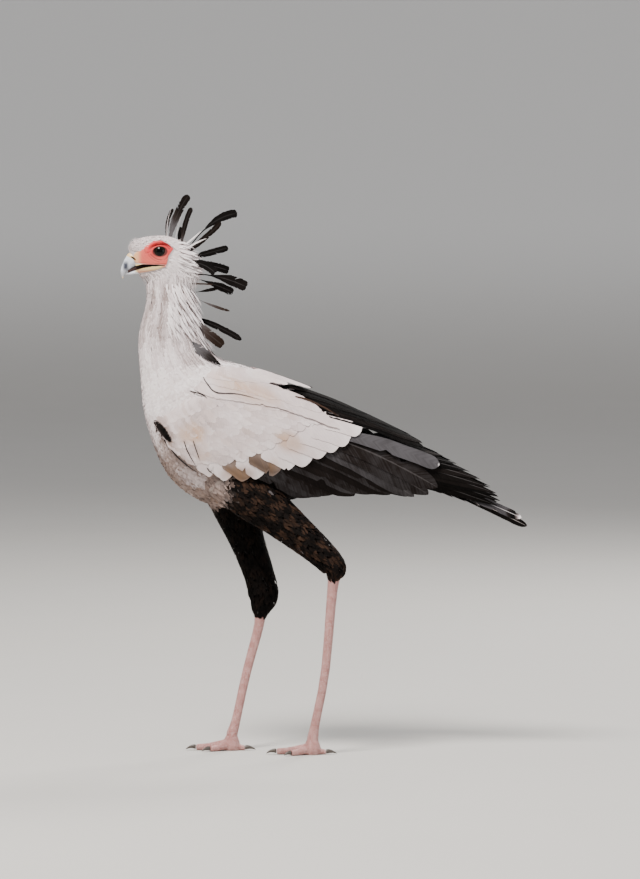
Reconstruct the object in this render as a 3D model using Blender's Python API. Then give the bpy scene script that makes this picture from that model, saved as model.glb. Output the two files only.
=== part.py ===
"""Secretary bird, standing with its right foot forward, as a life-size still model.

The bird faces -X. Its left side is at -Y and its right side at +Y, and it stands on z = 0.
Sizes are in millimetres here, and every mesh is scaled to metres when it is made.
"""

import math

import bmesh
import bpy
import numpy as np
from mathutils import Matrix

MM = 0.001
GAP = 0.45  # clearance cut between neighbouring nodes, before corners take some of it
LEFT, RIGHT = -1, 1
SOLVER = "MANIFOLD"  # EXACT leaves open edges where the thin vanes meet
SHARP_EDGE = math.radians(40)

# Trunk and neck: underside x and z, back x and z, half width
TRUNK_KEYS = np.array(
    [
        (-316, 890, -266, 912, 17),
        (-331, 866, -253, 896, 23),
        (-334, 832, -247, 846, 27),
        (-342, 768, -234, 784, 35),
        (-339, 703, -203, 736, 49),
        (-327, 609, -136, 712, 71),
        (-285, 511, -78, 684, 80),
        (-207, 459, -24, 652, 79),
        (-115, 457, 26, 620, 69),
        (-11, 483, 78, 592, 49),
        (70, 500, 128, 566, 29),
        (118, 509, 159, 542, 15),
    ],
    float,
)
NECK_RINGS = np.linspace(0.3, 4.5, 12)
TORSO_RINGS = np.linspace(4.504, 11, 16)  # starts about 0.3 mm past the neck's end
TRUNK_SIDES, TRUNK_SQUARENESS = 22, 2.15

# Head: underside x and z, top x and z, half width; the front slants back under the brow
HEAD_KEYS = np.array(
    [
        (-346, 900, -360.5, 926, 5.5),
        (-344.5, 894, -360, 933, 8.5),
        (-343, 886, -356, 944, 12.5),
        (-338, 879.5, -344, 951, 17),
        (-327, 875.5, -329, 955, 21),
        (-308, 873, -309, 957, 24),
        (-288, 871, -288, 956, 25.5),
        (-269, 870, -269, 949, 24.5),
        (-252, 873, -253, 935, 19.5),
        (-243, 884, -243, 918, 11),
    ],
    float,
)
HEAD_RINGS = np.linspace(0, 9, 13)
HEAD_SIDES, HEAD_SQUARENESS = 18, 2.25
EYE_CENTRE = (-302, 14.2, 928)
EYE_RADIUS = 13.4
# Lids: half the opening's length and height to the rim's middle, rim radius, rim depth, y of the rim
LID_LENGTH, LID_HEIGHT, LID_THICKNESS, LID_DEPTH, LID_REACH = 12.6, 10.4, 1.7, 2.8, 21.6
LID_STEPS, LID_SIDES = 12, 5
BROW_LINE = [(-321, 21, 931), (-313, 23, 938.5), (-302, 23.6, 942), (-290, 23.4, 941), (-280, 22, 934)]
BROW_RADII = (1.2, 2.6, 3.0, 2.6, 1.0)
BROW_SIDES = 5
UPPER_BILL_KEYS = np.array(
    [
        (-336, 903, -338, 926, 10),
        (-346, 902.5, -350, 926, 9.6),
        (-352, 899.8, -360.5, 924.5, 8.6),
        (-358, 896, -366.5, 916, 7),
        (-363.5, 891.5, -371.5, 906, 5.2),
        (-367, 886.5, -375, 895, 3.4),
        (-369.5, 881.5, -375, 886, 1.9),
        (-371, 877.5, -372.5, 878.5, 0.7),
    ],
    float,
)
UPPER_BILL_RINGS, UPPER_BILL_SIDES = np.linspace(0.3, 7, 10), 12
LOWER_BILL_KEYS = np.array(
    [
        (-300, 890.5, -298, 900.4, 10.5),
        (-318, 889, -317, 899.6, 10.4),
        (-334, 888, -334, 897, 9.2),
        (-350, 886, -350, 892.2, 6.6),
        (-360, 884.4, -360, 888.6, 4.2),
        (-366, 884.4, -366, 886.2, 1.6),
    ],
    float,
)
LOWER_BILL_RINGS, LOWER_BILL_SIDES = np.linspace(0, 5, 6), 10
BILL_SQUARENESS = 2.2
# Open mouth: x, lower edge z, upper edge z, from beyond its front back to the gape
MOUTH_KEYS = [
    (-376, 884.5, 888.0),
    (-362, 888.0, 892.5),
    (-350.7, 892.3, 899.6),
    (-334, 897.4, 904.0),
    (-317, 900.4, 903.6),
    (-304, 901.3, 903.2),
    (-293, 901.6, 902.2),
]
MOUTH_REACH = 40
NOSTRIL = (-352, 915.5)
NOSTRIL_LENGTH, NOSTRIL_HEIGHT, NOSTRIL_SLOPE = 10.0, 2.0, math.radians(-35)
NOSTRIL_DEPTHS = (4.8, 12)
NOSTRIL_SIDES = 8

# Folded wings: the frame slopes down to the tail, a runs back along it and b runs up from it
BODY_ORIGIN = (-229, 616)
BODY_SLOPE = math.radians(20)
MANTLE_A = np.array([-80, -37, 0, 74, 148, 222, 296, 370, 444, 500, 566], float)
MANTLE_TOP = np.array([50, 92, 111, 114, 115, 115, 109, 101, 92, 81, 64], float)
MANTLE_BOTTOM = np.array([-82, -108, -126, -135, -115, -80, -50, -18, 6, 20, 34], float)
MANTLE_HALF_WIDTH = np.array([34, 62, 77, 85, 85, 78, 66, 50, 34, 24, 15], float)
CORE_A = np.array([-76, -66, -40, 0, 50, 110, 160, 200, 235, 262], float)
CORE_LOW = np.array([-14, -44, -62, -74, -72, -58, -36, -8, 22, 52], float)
CORE_LIFT = np.array([2, 3, 4.5, 5, 4.5, 3, 0.5, -2.5, -4, -5], float)
CORE_DEPTH = np.array([6, 18, 30, 38, 38, 34, 26, 16, 9, 5], float)
CORE_TOP = math.radians(68)  # the core stops this far round towards the back
CORE_FRONT_TOP = math.radians(33)  # and here at the wing's front edge
CORE_FRONT_A = -50
CORE_EDGE = 0.03
CORE_STEPS = 6
VANE_THICKNESS = 0.9
VANE_SINK = 3.0  # how deep a vane's root lies in the core

# Blade outlines: share of the length and share of the half width
COVERT_TIP = ((0.0, 0.55), (0.25, 0.95), (0.78, 0.95), (1.0, 0.42))
ROUND_TIP = ((0.0, 0.5), (0.22, 0.9), (0.7, 1.0), (0.9, 0.75), (1.0, 0.3))
LONG_TIP = ((0.0, 0.5), (0.2, 0.8), (0.6, 1.0), (0.85, 0.72), (1.0, 0.2))
STRAP = ((0.0, 0.45), (0.25, 0.75), (0.55, 1.0), (0.85, 0.9), (1.0, 0.4))
CLUB = ((0.0, 0.2), (0.42, 0.3), (0.7, 0.95), (0.9, 0.95), (1.0, 0.45))

# Tiers of the wing, from the primaries up to the scapulars: how many vanes, the line of their
# roots and of their tips in a and b, half width, lift above the wing's outside, outline, and tilt,
# the rise for each millimetre across, which lets each vane overlap the next one
WING_TIERS = [
    (5, [(196, 8), (216, 44)], [(569, 42), (564, 56), (548, 69), (506, 81), (450, 88)],
     12, 0.0, LONG_TIP, 0.11),
    (6, [(100, -36), (146, 2), (190, 52)],
     [(286, -38), (330, -20), (372, -3), (408, 2), (450, 30)], 20, 4.2, ROUND_TIP, 0.09),
    (3, [(212, 66), (222, 92)], [(446, 82), (402, 98), (344, 104)], 16, 7.8, LONG_TIP, 0.1),
    (7, [(18, -54), (74, -26), (130, 22), (184, 76)],
     [(76, -74), (160, -50), (196, -20), (236, 12), (274, 56), (286, 84)],
     20, 8.6, COVERT_TIP, 0.065),
    (6, [(-20, -50), (30, -18), (80, 26), (126, 66)], [(34, -74), (92, -40), (146, 4), (206, 62)],
     19, 11.2, COVERT_TIP, 0.065),
    (5, [(-50, -42), (-8, -12), (42, 22), (76, 52)], [(-4, -66), (44, -34), (96, 8), (136, 44)],
     19, 13.8, COVERT_TIP, 0.065),
    (3, [(-66, -12), (-44, 16), (-10, 40)], [(-42, -46), (-2, -16), (66, 30)],
     18, 16.2, COVERT_TIP, 0.065),
    (4, [(-40, 68), (20, 92), (96, 107)], [(26, 60), (96, 72), (170, 84), (218, 112)],
     21, 16.6, COVERT_TIP, -0.065),
]

# Legs: centre x and z, thickness fore and aft, centre y out from the midline, sideways thickness
LEFT_THIGH_KEYS = np.array(
    [
        (-178, 527, 56, 42, 30),
        (-137, 483, 47, 49, 32),
        (-91, 446, 38, 53, 30),
        (-44, 407, 31, 54, 27),
        (-4, 372, 26, 53, 23),
        (19, 346, 22, 52, 18.5),
        (19, 328, 13, 52, 12),
    ],
    float,
)
RIGHT_THIGH_KEYS = np.array(
    [
        (-182, 515, 56, 44, 30),
        (-166, 455, 43, 54, 32),
        (-143, 388, 32, 58, 28),
        (-121, 325, 28, 59, 24),
        (-113, 287, 28, 59, 23),
        (-117, 262, 19, 58, 17),
        (-119, 248, 12, 57, 11),
    ],
    float,
)
LEFT_SHANK_KEYS = np.array(
    [
        (18.5, 327, 11.5, 52, 10.5),
        (14, 290, 9.6, 51, 8),
        (2, 152, 8.4, 48, 7),
        (-16, 58, 8.6, 45, 7.4),
        (-20, 34, 10.5, 44, 10),
        (-21.5, 26, 10.5, 44, 10.5),
    ],
    float,
)
RIGHT_SHANK_KEYS = np.array(
    [
        (-119.3, 247, 10.5, 57, 9.8),
        (-123, 222, 9.4, 54, 8),
        (-145, 140, 8.6, 42, 7),
        (-163, 58, 8.6, 30, 7.4),
        (-170, 34, 10.5, 27, 10),
        (-172, 26, 10.5, 26, 10.5),
    ],
    float,
)
THIGH_RING_COUNT, THIGH_SIDES = 15, 18
SHANK_RING_COUNT, SHANK_SIDES = 14, 12
# Toes: heading from straight ahead, turned away from the midline, length, radius at root and end
TOES = {
    "middle": (2, 66, 9.2, 6.6),
    "inner": (-31, 47, 8.6, 6.4),
    "outer": (35, 45, 8.4, 6.0),
    "hind": (188, 25, 7.6, 5.6),
}
CLAW_LENGTH = {"middle": 19, "inner": 18, "outer": 15, "hind": 20}
CLAW_RADIUS, CLAW_POINT, CLAW_ARCH, CLAW_SIDES = 4.4, 0.5, 1.4, 8
CLAW_SHARES = (0, 0.3, 0.6, 0.85, 1.0)
CLAW_START = 0.4  # clear of the toe's end
FOOT_TURN = {LEFT: 4, RIGHT: -2}
TOE_RING_COUNT, TOE_SIDES = 4, 8
TOE_PAD, TOE_PAD_PITCH = 0.7, 15.0  # swelling of the pads, and its angle over a toe's length
TOE_SOLE = 1.2  # how deep a toe is cut flat at the floor
TOE_RISE = 5.0  # how far the toes climb to the foot's middle
FOOT_BALL = ((-1, 13), (8, 15), (18, 13), (25.6, 10.5))  # height and radius
FOOT_BALL_SIDES, FOOT_BALL_LENGTH = 12, 1.1

# Crest and nape plumes: root, bend and tip x and z, half the blade's width, y at root and tip,
# and whether the blade is a strap all along or a club on a thin stem
CREST_PLUMES = [
    ((-285, 946), (-279, 990), (-250, 1031), 7.6, -3, -8, STRAP),
    ((-291, 948), (-293, 984), (-279, 1006), 4.0, 5, 11, STRAP),
    ((-263, 938), (-259, 979), (-244, 1008), 5.2, -9, -17, STRAP),
    ((-268, 943), (-268, 958), (-263, 971), 4.4, 9, 15, STRAP),
    ((-257, 922), (-216, 990), (-161, 998), 8.4, 3, 10, CLUB),
    ((-257, 921), (-221, 950), (-190, 981), 5.6, -9, -22, STRAP),
    ((-252, 914), (-216, 924), (-178, 934), 6.4, 10, 25, STRAP),
    ((-250, 906), (-224, 911), (-201, 889), 8.2, -11, -28, STRAP),
    ((-250, 902), (-214, 906), (-177, 892), 8.2, 5, 14, STRAP),
    ((-252, 886), (-196, 888), (-144, 863), 10.4, -6, -17, CLUB),
    ((-251, 881), (-214, 873), (-169, 852), 8.0, 8, 22, CLUB),
]
NAPE_PLUMES = [
    ((-258, 868), (-232, 869), (-205, 867), 3.0, -9, -20, STRAP),
    ((-256, 850), (-226, 853), (-197, 859), 4.0, 9, 24, STRAP),
    ((-254, 852), (-220, 830), (-174, 818), 5.6, -5, -12, CLUB),
    ((-250, 808), (-200, 794), (-153, 764), 6.0, 7, 15, STRAP),
    ((-252, 805), (-219, 781), (-189, 757), 8.4, -12, -26, STRAP),
    ((-256, 760), (-232, 750), (-197, 722), 8.4, -27, -44, STRAP),
    ((-256, 760), (-232, 750), (-197, 722), 8.4, 27, 44, STRAP),
]

PLUME_THICKNESS = 1.5
PLUME_LEAN, PLUME_LEAN_PITCH = 0.25, 2.1  # the blades' twist, varied from plume to plume

# Tail: the root block's a, half width and half height; each pair's tip a and b in the body frame,
# half width, sideways place and roll
TAIL_BLOCK = ((377.2, 14, 13), (400, 17, 12), (440, 19, 8), (470, 15, 4))
TAIL_BLOCK_SIDES, TAIL_BLOCK_SQUARENESS = 16, 2.3
TAIL_BLOCK_B = 38
TAIL_ROOT_A, TAIL_ROOT_B, TAIL_ROOT_OUT, TAIL_FAN = 396, 42, 4.5, 0.25
TAIL_PAIRS = [
    (636, 22, 11, 5, 20),
    (540, 31, 10, 4, 12),
    (515, 33, 10, 5, 12),
    (490, 35, 10, 6, 12),
    (466, 37, 10, 7, 12),
    (445, 39, 10, 8, 12),
]
TAIL_LAYER = 2.6
TAIL_ARCH = 5
RECTRIX_THICKNESS = 1.0
# The left central feather is a little shorter and stands higher than the right one
LEFT_CENTRAL_EXTRA = (-16, 12.8)


# Curves, lofts and joins that every section uses
def spline(t, xs, ys):
    """Smooth curve through ys at xs, with Catmull-Rom slopes, clamped outside the ends."""
    xs, ys = np.asarray(xs, float), np.asarray(ys, float)
    t = np.clip(np.asarray(t, float), xs[0], xs[-1])
    slopes = np.gradient(ys, xs, axis=0)
    i = np.clip(np.searchsorted(xs, t, side="right") - 1, 0, len(xs) - 2)
    h = xs[i + 1] - xs[i]
    u = (t - xs[i]) / h
    if ys.ndim == 2:
        h, u = h[..., None], u[..., None]
    return (
        (2 * u**3 - 3 * u**2 + 1) * ys[i]
        + (u**3 - 2 * u**2 + u) * h * slopes[i]
        + (3 * u**2 - 2 * u**3) * ys[i + 1]
        + (u**3 - u**2) * h * slopes[i + 1]
    )


def unit(v):
    v = np.asarray(v, float)
    return v / np.maximum(np.linalg.norm(v, axis=-1, keepdims=True), 1e-12)


def material(name, colour, roughness, metallic=0.0):
    made = bpy.data.materials.new(name)
    made.use_nodes = True
    shader = made.node_tree.nodes["Principled BSDF"]
    shader.inputs["Base Color"].default_value = (*colour, 1)
    shader.inputs["Roughness"].default_value = roughness
    shader.inputs["Metallic"].default_value = metallic
    return made


def solid(name, points, faces, finish):
    """A mesh object from points in millimetres, with its faces turned outwards."""
    mesh = bpy.data.meshes.new(name)
    bm = bmesh.new()
    corners = [bm.verts.new(np.asarray(p, float) * MM) for p in points]
    for face in faces:
        bm.faces.new([corners[i] for i in face])
    bmesh.ops.recalc_face_normals(bm, faces=bm.faces)
    bmesh.ops.triangulate(bm, faces=bm.faces)
    bm.to_mesh(mesh)
    bm.free()
    mesh.materials.append(finish)
    made = bpy.data.objects.new(name, mesh)
    bpy.context.scene.collection.objects.link(made)
    return made


def loft(name, rings, finish):
    """Skins closed rings of equal length, with a flat face over each end."""
    count = len(rings[0])
    points = np.concatenate(rings)
    faces = []
    for r in range(len(rings) - 1):
        for k in range(count):
            n = (k + 1) % count
            faces.append(
                (r * count + k, r * count + n, (r + 1) * count + n, (r + 1) * count + k)
            )
    faces.append(tuple(range(count)))
    faces.append(tuple((len(rings) - 1) * count + k for k in range(count)))
    return solid(name, points, faces, finish)


def oval(centre, up, out, count, square=2.0):
    """Closed ring of points: a superellipse on the axes up and out."""
    angles = np.arange(count) * 2 * math.pi / count
    c, s = np.cos(angles), np.sin(angles)
    bulge = (np.abs(c) ** square + np.abs(s) ** square) ** (-1 / square)
    return (
        np.asarray(centre, float)
        + np.outer(s * bulge, np.asarray(up, float))
        + np.outer(c * bulge, np.asarray(out, float))
    )


def outline_rings(keys, positions, count, square=2.0):
    """Rings between an underside and a back line, the way TRUNK_KEYS states them."""
    rings = []
    for x0, z0, x1, z1, half in spline(positions, np.arange(len(keys)), keys):
        low, high = np.array([x0, 0, z0]), np.array([x1, 0, z1])
        rings.append(oval((low + high) / 2, (high - low) / 2, (0, half, 0), count, square))
    return rings


def limb_rings(keys, side, positions, count):
    """Rings across a limb's path, with its own thickness fore and aft and sideways."""
    at = spline(positions, np.arange(len(keys)), keys)
    path = np.stack([at[:, 0], side * at[:, 3], at[:, 1]], axis=1)
    along = unit(np.gradient(path, axis=0))
    rings = []
    for centre, way, row in zip(path, along, at):
        fore = unit(np.cross(way, (0, 1, 0)))
        out = unit(np.cross(fore, way))
        rings.append(oval(centre, fore * row[2], out * row[4], count))
    return rings


def apply_boolean(target, operation, other=None, group=None):
    change = target.modifiers.new(operation.lower(), "BOOLEAN")
    change.operation = operation
    change.solver = SOLVER
    if group is None:
        change.object = other
    else:
        change.operand_type = "COLLECTION"
        change.collection = group
    with bpy.context.temp_override(object=target, active_object=target):
        bpy.ops.object.modifier_apply(modifier=change.name)


def join(target, pieces):
    """Fuses closed pieces into the target with one union."""
    group = bpy.data.collections.new("pieces of " + target.name)
    bpy.context.scene.collection.children.link(group)
    for piece in pieces:
        group.objects.link(piece)
    apply_boolean(target, "UNION", group=group)
    for piece in pieces:
        bpy.data.objects.remove(piece)
    bpy.data.collections.remove(group)


def cut_clear(target, neighbours):
    """Cuts the target back from its neighbours, so that a thin gap is left between them."""
    for neighbour in neighbours:
        grown = neighbour.copy()
        grown.data = neighbour.data.copy()
        bpy.context.scene.collection.objects.link(grown)
        normals = [v.normal.copy() for v in grown.data.vertices]
        for vertex, normal in zip(grown.data.vertices, normals):
            vertex.co += normal * GAP * MM
        cut_away(target, grown)


def cut_away(target, cutter):
    apply_boolean(target, "DIFFERENCE", cutter)
    bpy.data.objects.remove(cutter)


def keep_largest(target):
    """Keeps the node's largest closed surface and drops loose scraps and sealed hollows."""
    bm = bmesh.new()
    bm.from_mesh(target.data)
    bmesh.ops.remove_doubles(bm, verts=bm.verts, dist=1e-6)
    bm.faces.ensure_lookup_table()
    seen = set()
    islands = []
    for face in bm.faces:
        if face in seen:
            continue
        island, stack = [], [face]
        seen.add(face)
        while stack:
            current = stack.pop()
            island.append(current)
            for edge in current.edges:
                for other in edge.link_faces:
                    if other not in seen:
                        seen.add(other)
                        stack.append(other)
        islands.append(island)
    islands.sort(key=len, reverse=True)
    loose = [face for island in islands[1:] for face in island]
    bmesh.ops.delete(bm, geom=loose, context="FACES")
    bm.to_mesh(target.data)
    bm.free()


def mirrored(name, source):
    """The same node on the bird's other side."""
    mesh = source.data.copy()
    mesh.name = name
    for vertex in mesh.vertices:
        vertex.co.y *= -1
    mesh.flip_normals()
    made = bpy.data.objects.new(name, mesh)
    bpy.context.scene.collection.objects.link(made)
    return made


# Feathers: a vane is three lines of points, left edge, shaft and right edge, thickened both ways
def vane(name, lines, normals, thickness, finish):
    """Closed vane from points shaped (sections, 3, 3); both faces are split alike."""
    sections = len(lines)
    half = np.array([0.3, 0.5, 0.3])[None, :, None] * thickness
    top = lines + normals[:, None, :] * half
    under = lines - normals[:, None, :] * half
    points = np.concatenate([top.reshape(-1, 3), under.reshape(-1, 3)])
    below = sections * 3
    faces = []
    for r in range(sections - 1):
        for c in range(2):
            a, b = r * 3 + c, r * 3 + c + 1
            d, e = a + 3, b + 3
            faces += [(a, b, e), (a, e, d)]
            faces += [(a + below, e + below, b + below), (a + below, d + below, e + below)]
        for c in (0, 2):
            a, d = r * 3 + c, r * 3 + c + 3
            faces += [(a, d, d + below), (a, d + below, a + below)]
    for r in (0, sections - 1):
        for c in range(2):
            a, b = r * 3 + c, r * 3 + c + 1
            faces += [(a, b, b + below), (a, b + below, a + below)]
    return solid(name, points, faces, finish)


def plume(name, ends, half_width, thickness, finish, facing, shape):
    """A free feather on a shaft from root over bend to tip, its blade's face turned to facing."""
    t = np.array([s[0] for s in shape])[:, None]
    root, bend, tip = (np.asarray(p, float) for p in ends)
    shaft = (1 - t) ** 2 * root + 2 * t * (1 - t) * bend + t**2 * tip
    along = unit(np.gradient(shaft, axis=0))
    across = unit(np.cross(along, np.asarray(facing, float)))
    normals = unit(np.cross(across, along))
    widths = np.array([s[1] for s in shape])[:, None] * half_width
    lines = np.stack([shaft - across * widths, shaft, shaft + across * widths], axis=1)
    return vane(name, lines, normals, thickness, finish)


# Head, bill and eyes
def lid(side, finish):
    """Raised rim of the eyelids: an oval ring that lies on the cheek."""
    rings = []
    for k in range(LID_STEPS):
        angle = 2 * math.pi * k / LID_STEPS
        out = np.array([math.cos(angle), 0, math.sin(angle)])
        centre = np.array([EYE_CENTRE[0], side * LID_REACH, EYE_CENTRE[2]])
        centre = centre + out * (LID_LENGTH, 0, LID_HEIGHT)
        rings.append(oval(centre, out * LID_THICKNESS, (0, side * LID_DEPTH, 0), LID_SIDES))
    faces = []
    for r in range(LID_STEPS):
        here, there = r * LID_SIDES, (r + 1) % LID_STEPS * LID_SIDES
        for k in range(LID_SIDES):
            n = (k + 1) % LID_SIDES
            faces.append((here + k, here + n, there + n, there + k))
    return solid("lid", np.concatenate(rings), faces, finish)


def eyeball(name, side, finish):
    x, y, z = EYE_CENTRE
    place = Matrix.Translation((x * MM, side * y * MM, z * MM))
    mesh = bpy.data.meshes.new(name)
    bm = bmesh.new()
    bmesh.ops.create_icosphere(bm, subdivisions=2, radius=EYE_RADIUS * MM, matrix=place)
    bm.to_mesh(mesh)
    bm.free()
    mesh.materials.append(finish)
    made = bpy.data.objects.new(name, mesh)
    bpy.context.scene.collection.objects.link(made)
    return made


def brow(side, finish):
    """Low ridge over the eye."""
    path = np.array(BROW_LINE) * (1, side, 1)
    along = unit(np.gradient(path, axis=0))
    rings = []
    for centre, way, radius in zip(path, along, BROW_RADII):
        up = unit(np.cross(way, (0, side, 0)))
        rings.append(oval(centre, up * radius, (0, side * radius, 0), BROW_SIDES))
    return loft("brow", rings, finish)


def mouth_wedge(finish):
    """Thin wedge that opens the line of the mouth from its front to the gape."""
    rings = []
    for x, low, high in MOUTH_KEYS:
        low_edge = [(x, -MOUTH_REACH, low), (x, MOUTH_REACH, low)]
        high_edge = [(x, MOUTH_REACH, high), (x, -MOUTH_REACH, high)]
        rings.append(np.array(low_edge + high_edge))
    return loft("mouth", rings, finish)


def nostril_cutter(side, finish):
    along = np.array([math.cos(NOSTRIL_SLOPE), 0, math.sin(NOSTRIL_SLOPE)])
    across = np.array([-along[2], 0, along[0]])
    centre = np.array([NOSTRIL[0], 0, NOSTRIL[1]])
    rings = []
    for depth in NOSTRIL_DEPTHS:
        at = centre + np.array([0, side * depth, 0])
        rings.append(
            oval(at, across * NOSTRIL_HEIGHT / 2, along * NOSTRIL_LENGTH / 2, NOSTRIL_SIDES)
        )
    return loft("nostril", rings, finish)


def make_bill(finish):
    rings = outline_rings(UPPER_BILL_KEYS, UPPER_BILL_RINGS, UPPER_BILL_SIDES, BILL_SQUARENESS)
    upper = loft("bill_upper", rings, finish)
    for side in (LEFT, RIGHT):
        cut_away(upper, nostril_cutter(side, finish))
    rings = outline_rings(LOWER_BILL_KEYS, LOWER_BILL_RINGS, LOWER_BILL_SIDES, BILL_SQUARENESS)
    lower = loft("bill_lower", rings, finish)
    return upper, lower


def crest_plume(number, row, finish):
    root, bend, tip, half, y_root, y_tip, shape = row
    lean = PLUME_LEAN * math.sin(PLUME_LEAN_PITCH * number)
    ends = ((root[0], y_root, root[1]), (bend[0], (y_root + y_tip) / 2, bend[1]),
            (tip[0], y_tip, tip[1]))
    return plume("plume", ends, half, PLUME_THICKNESS, finish, (lean, 1, 0.3 * lean), shape)


def make_head(mats):
    finish = mats["head"]
    rings = outline_rings(HEAD_KEYS, HEAD_RINGS, HEAD_SIDES, HEAD_SQUARENESS)
    head = loft("head", rings, finish)
    ridges = [lid(side, finish) for side in (LEFT, RIGHT)]
    ridges += [brow(side, finish) for side in (LEFT, RIGHT)]
    join(head, ridges)
    cut_away(head, mouth_wedge(finish))
    upper, lower = make_bill(mats["bill"])
    eye_left = eyeball("eye_left", LEFT, mats["eye"])
    eye_right = eyeball("eye_right", RIGHT, mats["eye"])
    cut_clear(head, [upper, lower, eye_left, eye_right])
    join(head, [crest_plume(n, row, finish) for n, row in enumerate(CREST_PLUMES)])
    keep_largest(head)
    return head


# Neck and torso
def make_trunk(mats, head):
    rings = outline_rings(TRUNK_KEYS, NECK_RINGS, TRUNK_SIDES, TRUNK_SQUARENESS)
    neck = loft("neck", rings, mats["neck"])
    cut_clear(neck, [head])
    first = len(CREST_PLUMES)
    join(neck, [crest_plume(n, row, mats["neck"]) for n, row in enumerate(NAPE_PLUMES, first)])
    keep_largest(neck)
    rings = outline_rings(TRUNK_KEYS, TORSO_RINGS, TRUNK_SIDES, TRUNK_SQUARENESS)
    torso = loft("torso", rings, mats["torso"])
    return neck, torso


# Wings
def body_point(a, b, y):
    """Point in the bird's frame from the sloping body frame."""
    a, b, y = (np.asarray(v, float) for v in (a, b, y))
    c, s = math.cos(BODY_SLOPE), math.sin(BODY_SLOPE)
    return np.stack(
        [BODY_ORIGIN[0] + a * c + b * s, y, BODY_ORIGIN[1] - a * s + b * c], axis=-1
    )


def body_direction(b, y):
    """Direction square to the body's slope: b up from it and y across."""
    return body_point(0, b, y) - body_point(0, 0, 0)


def mantle_size(a):
    top = spline(a, MANTLE_A, MANTLE_TOP)
    bottom = spline(a, MANTLE_A, MANTLE_BOTTOM)
    return spline(a, MANTLE_A, MANTLE_HALF_WIDTH), (top - bottom) / 2, (top + bottom) / 2


def wing_point(side, a, angle, lift):
    """Point on the outside of the folded wings, lift millimetres proud of it."""
    width, height, middle = mantle_size(a)
    b = middle + (height + lift) * np.sin(angle)
    return body_point(a, b, side * (width + lift) * np.cos(angle))


def wing_angle(a, b):
    _, height, middle = mantle_size(a)
    return np.arcsin(np.clip((b - middle) / height, -0.985, 0.985))


def onto_wing(side, point, lift):
    """Moves points square onto the wing's outside at the given lift."""
    c, s = math.cos(BODY_SLOPE), math.sin(BODY_SLOPE)
    dx, dz = point[..., 0] - BODY_ORIGIN[0], point[..., 2] - BODY_ORIGIN[1]
    a, b = dx * c - dz * s, dx * s + dz * c
    width, height, middle = mantle_size(a)
    angle = np.arctan2((b - middle) / (height + lift), side * point[..., 1] / (width + lift))
    return wing_point(side, a, angle, lift)


def wing_vane(side, root, tip, half_width, lift, shape, tilt, finish):
    """A vane that hugs the folded wing, its root sunk in the core, tipped to overlap the next."""
    t = np.array([s[0] for s in shape])
    widths = np.array([s[1] for s in shape]) * half_width
    a = root[0] + (tip[0] - root[0]) * t
    b = root[1] + (tip[1] - root[1]) * t
    rise = np.clip(t / shape[1][0], 0, 1)
    root_lift = spline(root[0], CORE_A, CORE_LIFT) - VANE_SINK
    lifts = root_lift + (lift - root_lift) * rise * rise * (3 - 2 * rise)
    angle = wing_angle(a, b)
    shaft = wing_point(side, a, angle, lifts)
    along = unit(np.gradient(shaft, axis=0))
    outward = unit(wing_point(side, a, angle, lifts + 1) - shaft)
    across = unit(np.cross(along, outward)) * side
    normals = unit(np.cross(across, along)) * side
    lines = []
    for edge in (-1, 0, 1):
        beside = shaft + across * (edge * widths)[:, None]
        lines.append(onto_wing(side, beside, lifts + tilt * edge * widths))
    return vane("vane", np.stack(lines, axis=1), normals, VANE_THICKNESS, finish)


def tier(side, row, finish):
    """One row of overlapping vanes, spread evenly between the lines of its roots and tips."""
    count, roots, tips, half_width, lift, shape, tilt = row
    shares = np.linspace(0, 1, count)
    root_at = spline(shares, np.linspace(0, 1, len(roots)), roots)
    tip_at = spline(shares, np.linspace(0, 1, len(tips)), tips)
    made = []
    for root, tip in zip(root_at, tip_at):
        made.append(wing_vane(side, root, tip, half_width, lift, shape, tilt, finish))
    return made


def wing_core(name, side, finish):
    """The folded arm and hand under the coverts, a slab that follows the body's side."""
    rings = []
    for a, low, lift, depth in zip(CORE_A, CORE_LOW, CORE_LIFT, CORE_DEPTH):
        first = float(wing_angle(a, low))
        last = CORE_TOP if a > CORE_FRONT_A else CORE_FRONT_TOP
        angles = np.linspace(first, last, CORE_STEPS)
        outer = [wing_point(side, a, w, lift) for w in angles]
        inner = [wing_point(side, a, w, lift - depth) for w in angles[::-1]]
        high_edge = [wing_point(side, a, last + CORE_EDGE, lift - depth / 2)]
        low_edge = [wing_point(side, a, first - CORE_EDGE, lift - depth / 2)]
        rings.append(np.array(outer + high_edge + inner + low_edge))
    return loft(name, rings, finish)


def make_wing(name, side, finish, clear_of):
    wing = wing_core(name, side, finish)
    vanes = []
    for row in WING_TIERS:
        vanes += tier(side, row, finish)
    join(wing, vanes)
    cut_clear(wing, clear_of)
    keep_largest(wing)
    return wing


# Tail
def rectrix(number, side, row, finish):
    a, b, half, out, roll = row
    if number == 0 and side == LEFT:
        a, b = a + LEFT_CENTRAL_EXTRA[0], b + LEFT_CENTRAL_EXTRA[1]
    layer = -TAIL_LAYER * (number + (0.5 if side == LEFT else 0))
    root = body_point(TAIL_ROOT_A, TAIL_ROOT_B + layer, side * (TAIL_ROOT_OUT + out * TAIL_FAN))
    tip = body_point(a, b + layer, side * out)
    bend = (root + tip) / 2 + body_direction(TAIL_ARCH, 0)
    turn = math.radians(roll)
    facing = body_direction(math.cos(turn), side * math.sin(turn))
    return plume("rectrix", (root, bend, tip), half, RECTRIX_THICKNESS, finish, facing, LONG_TIP)


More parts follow.
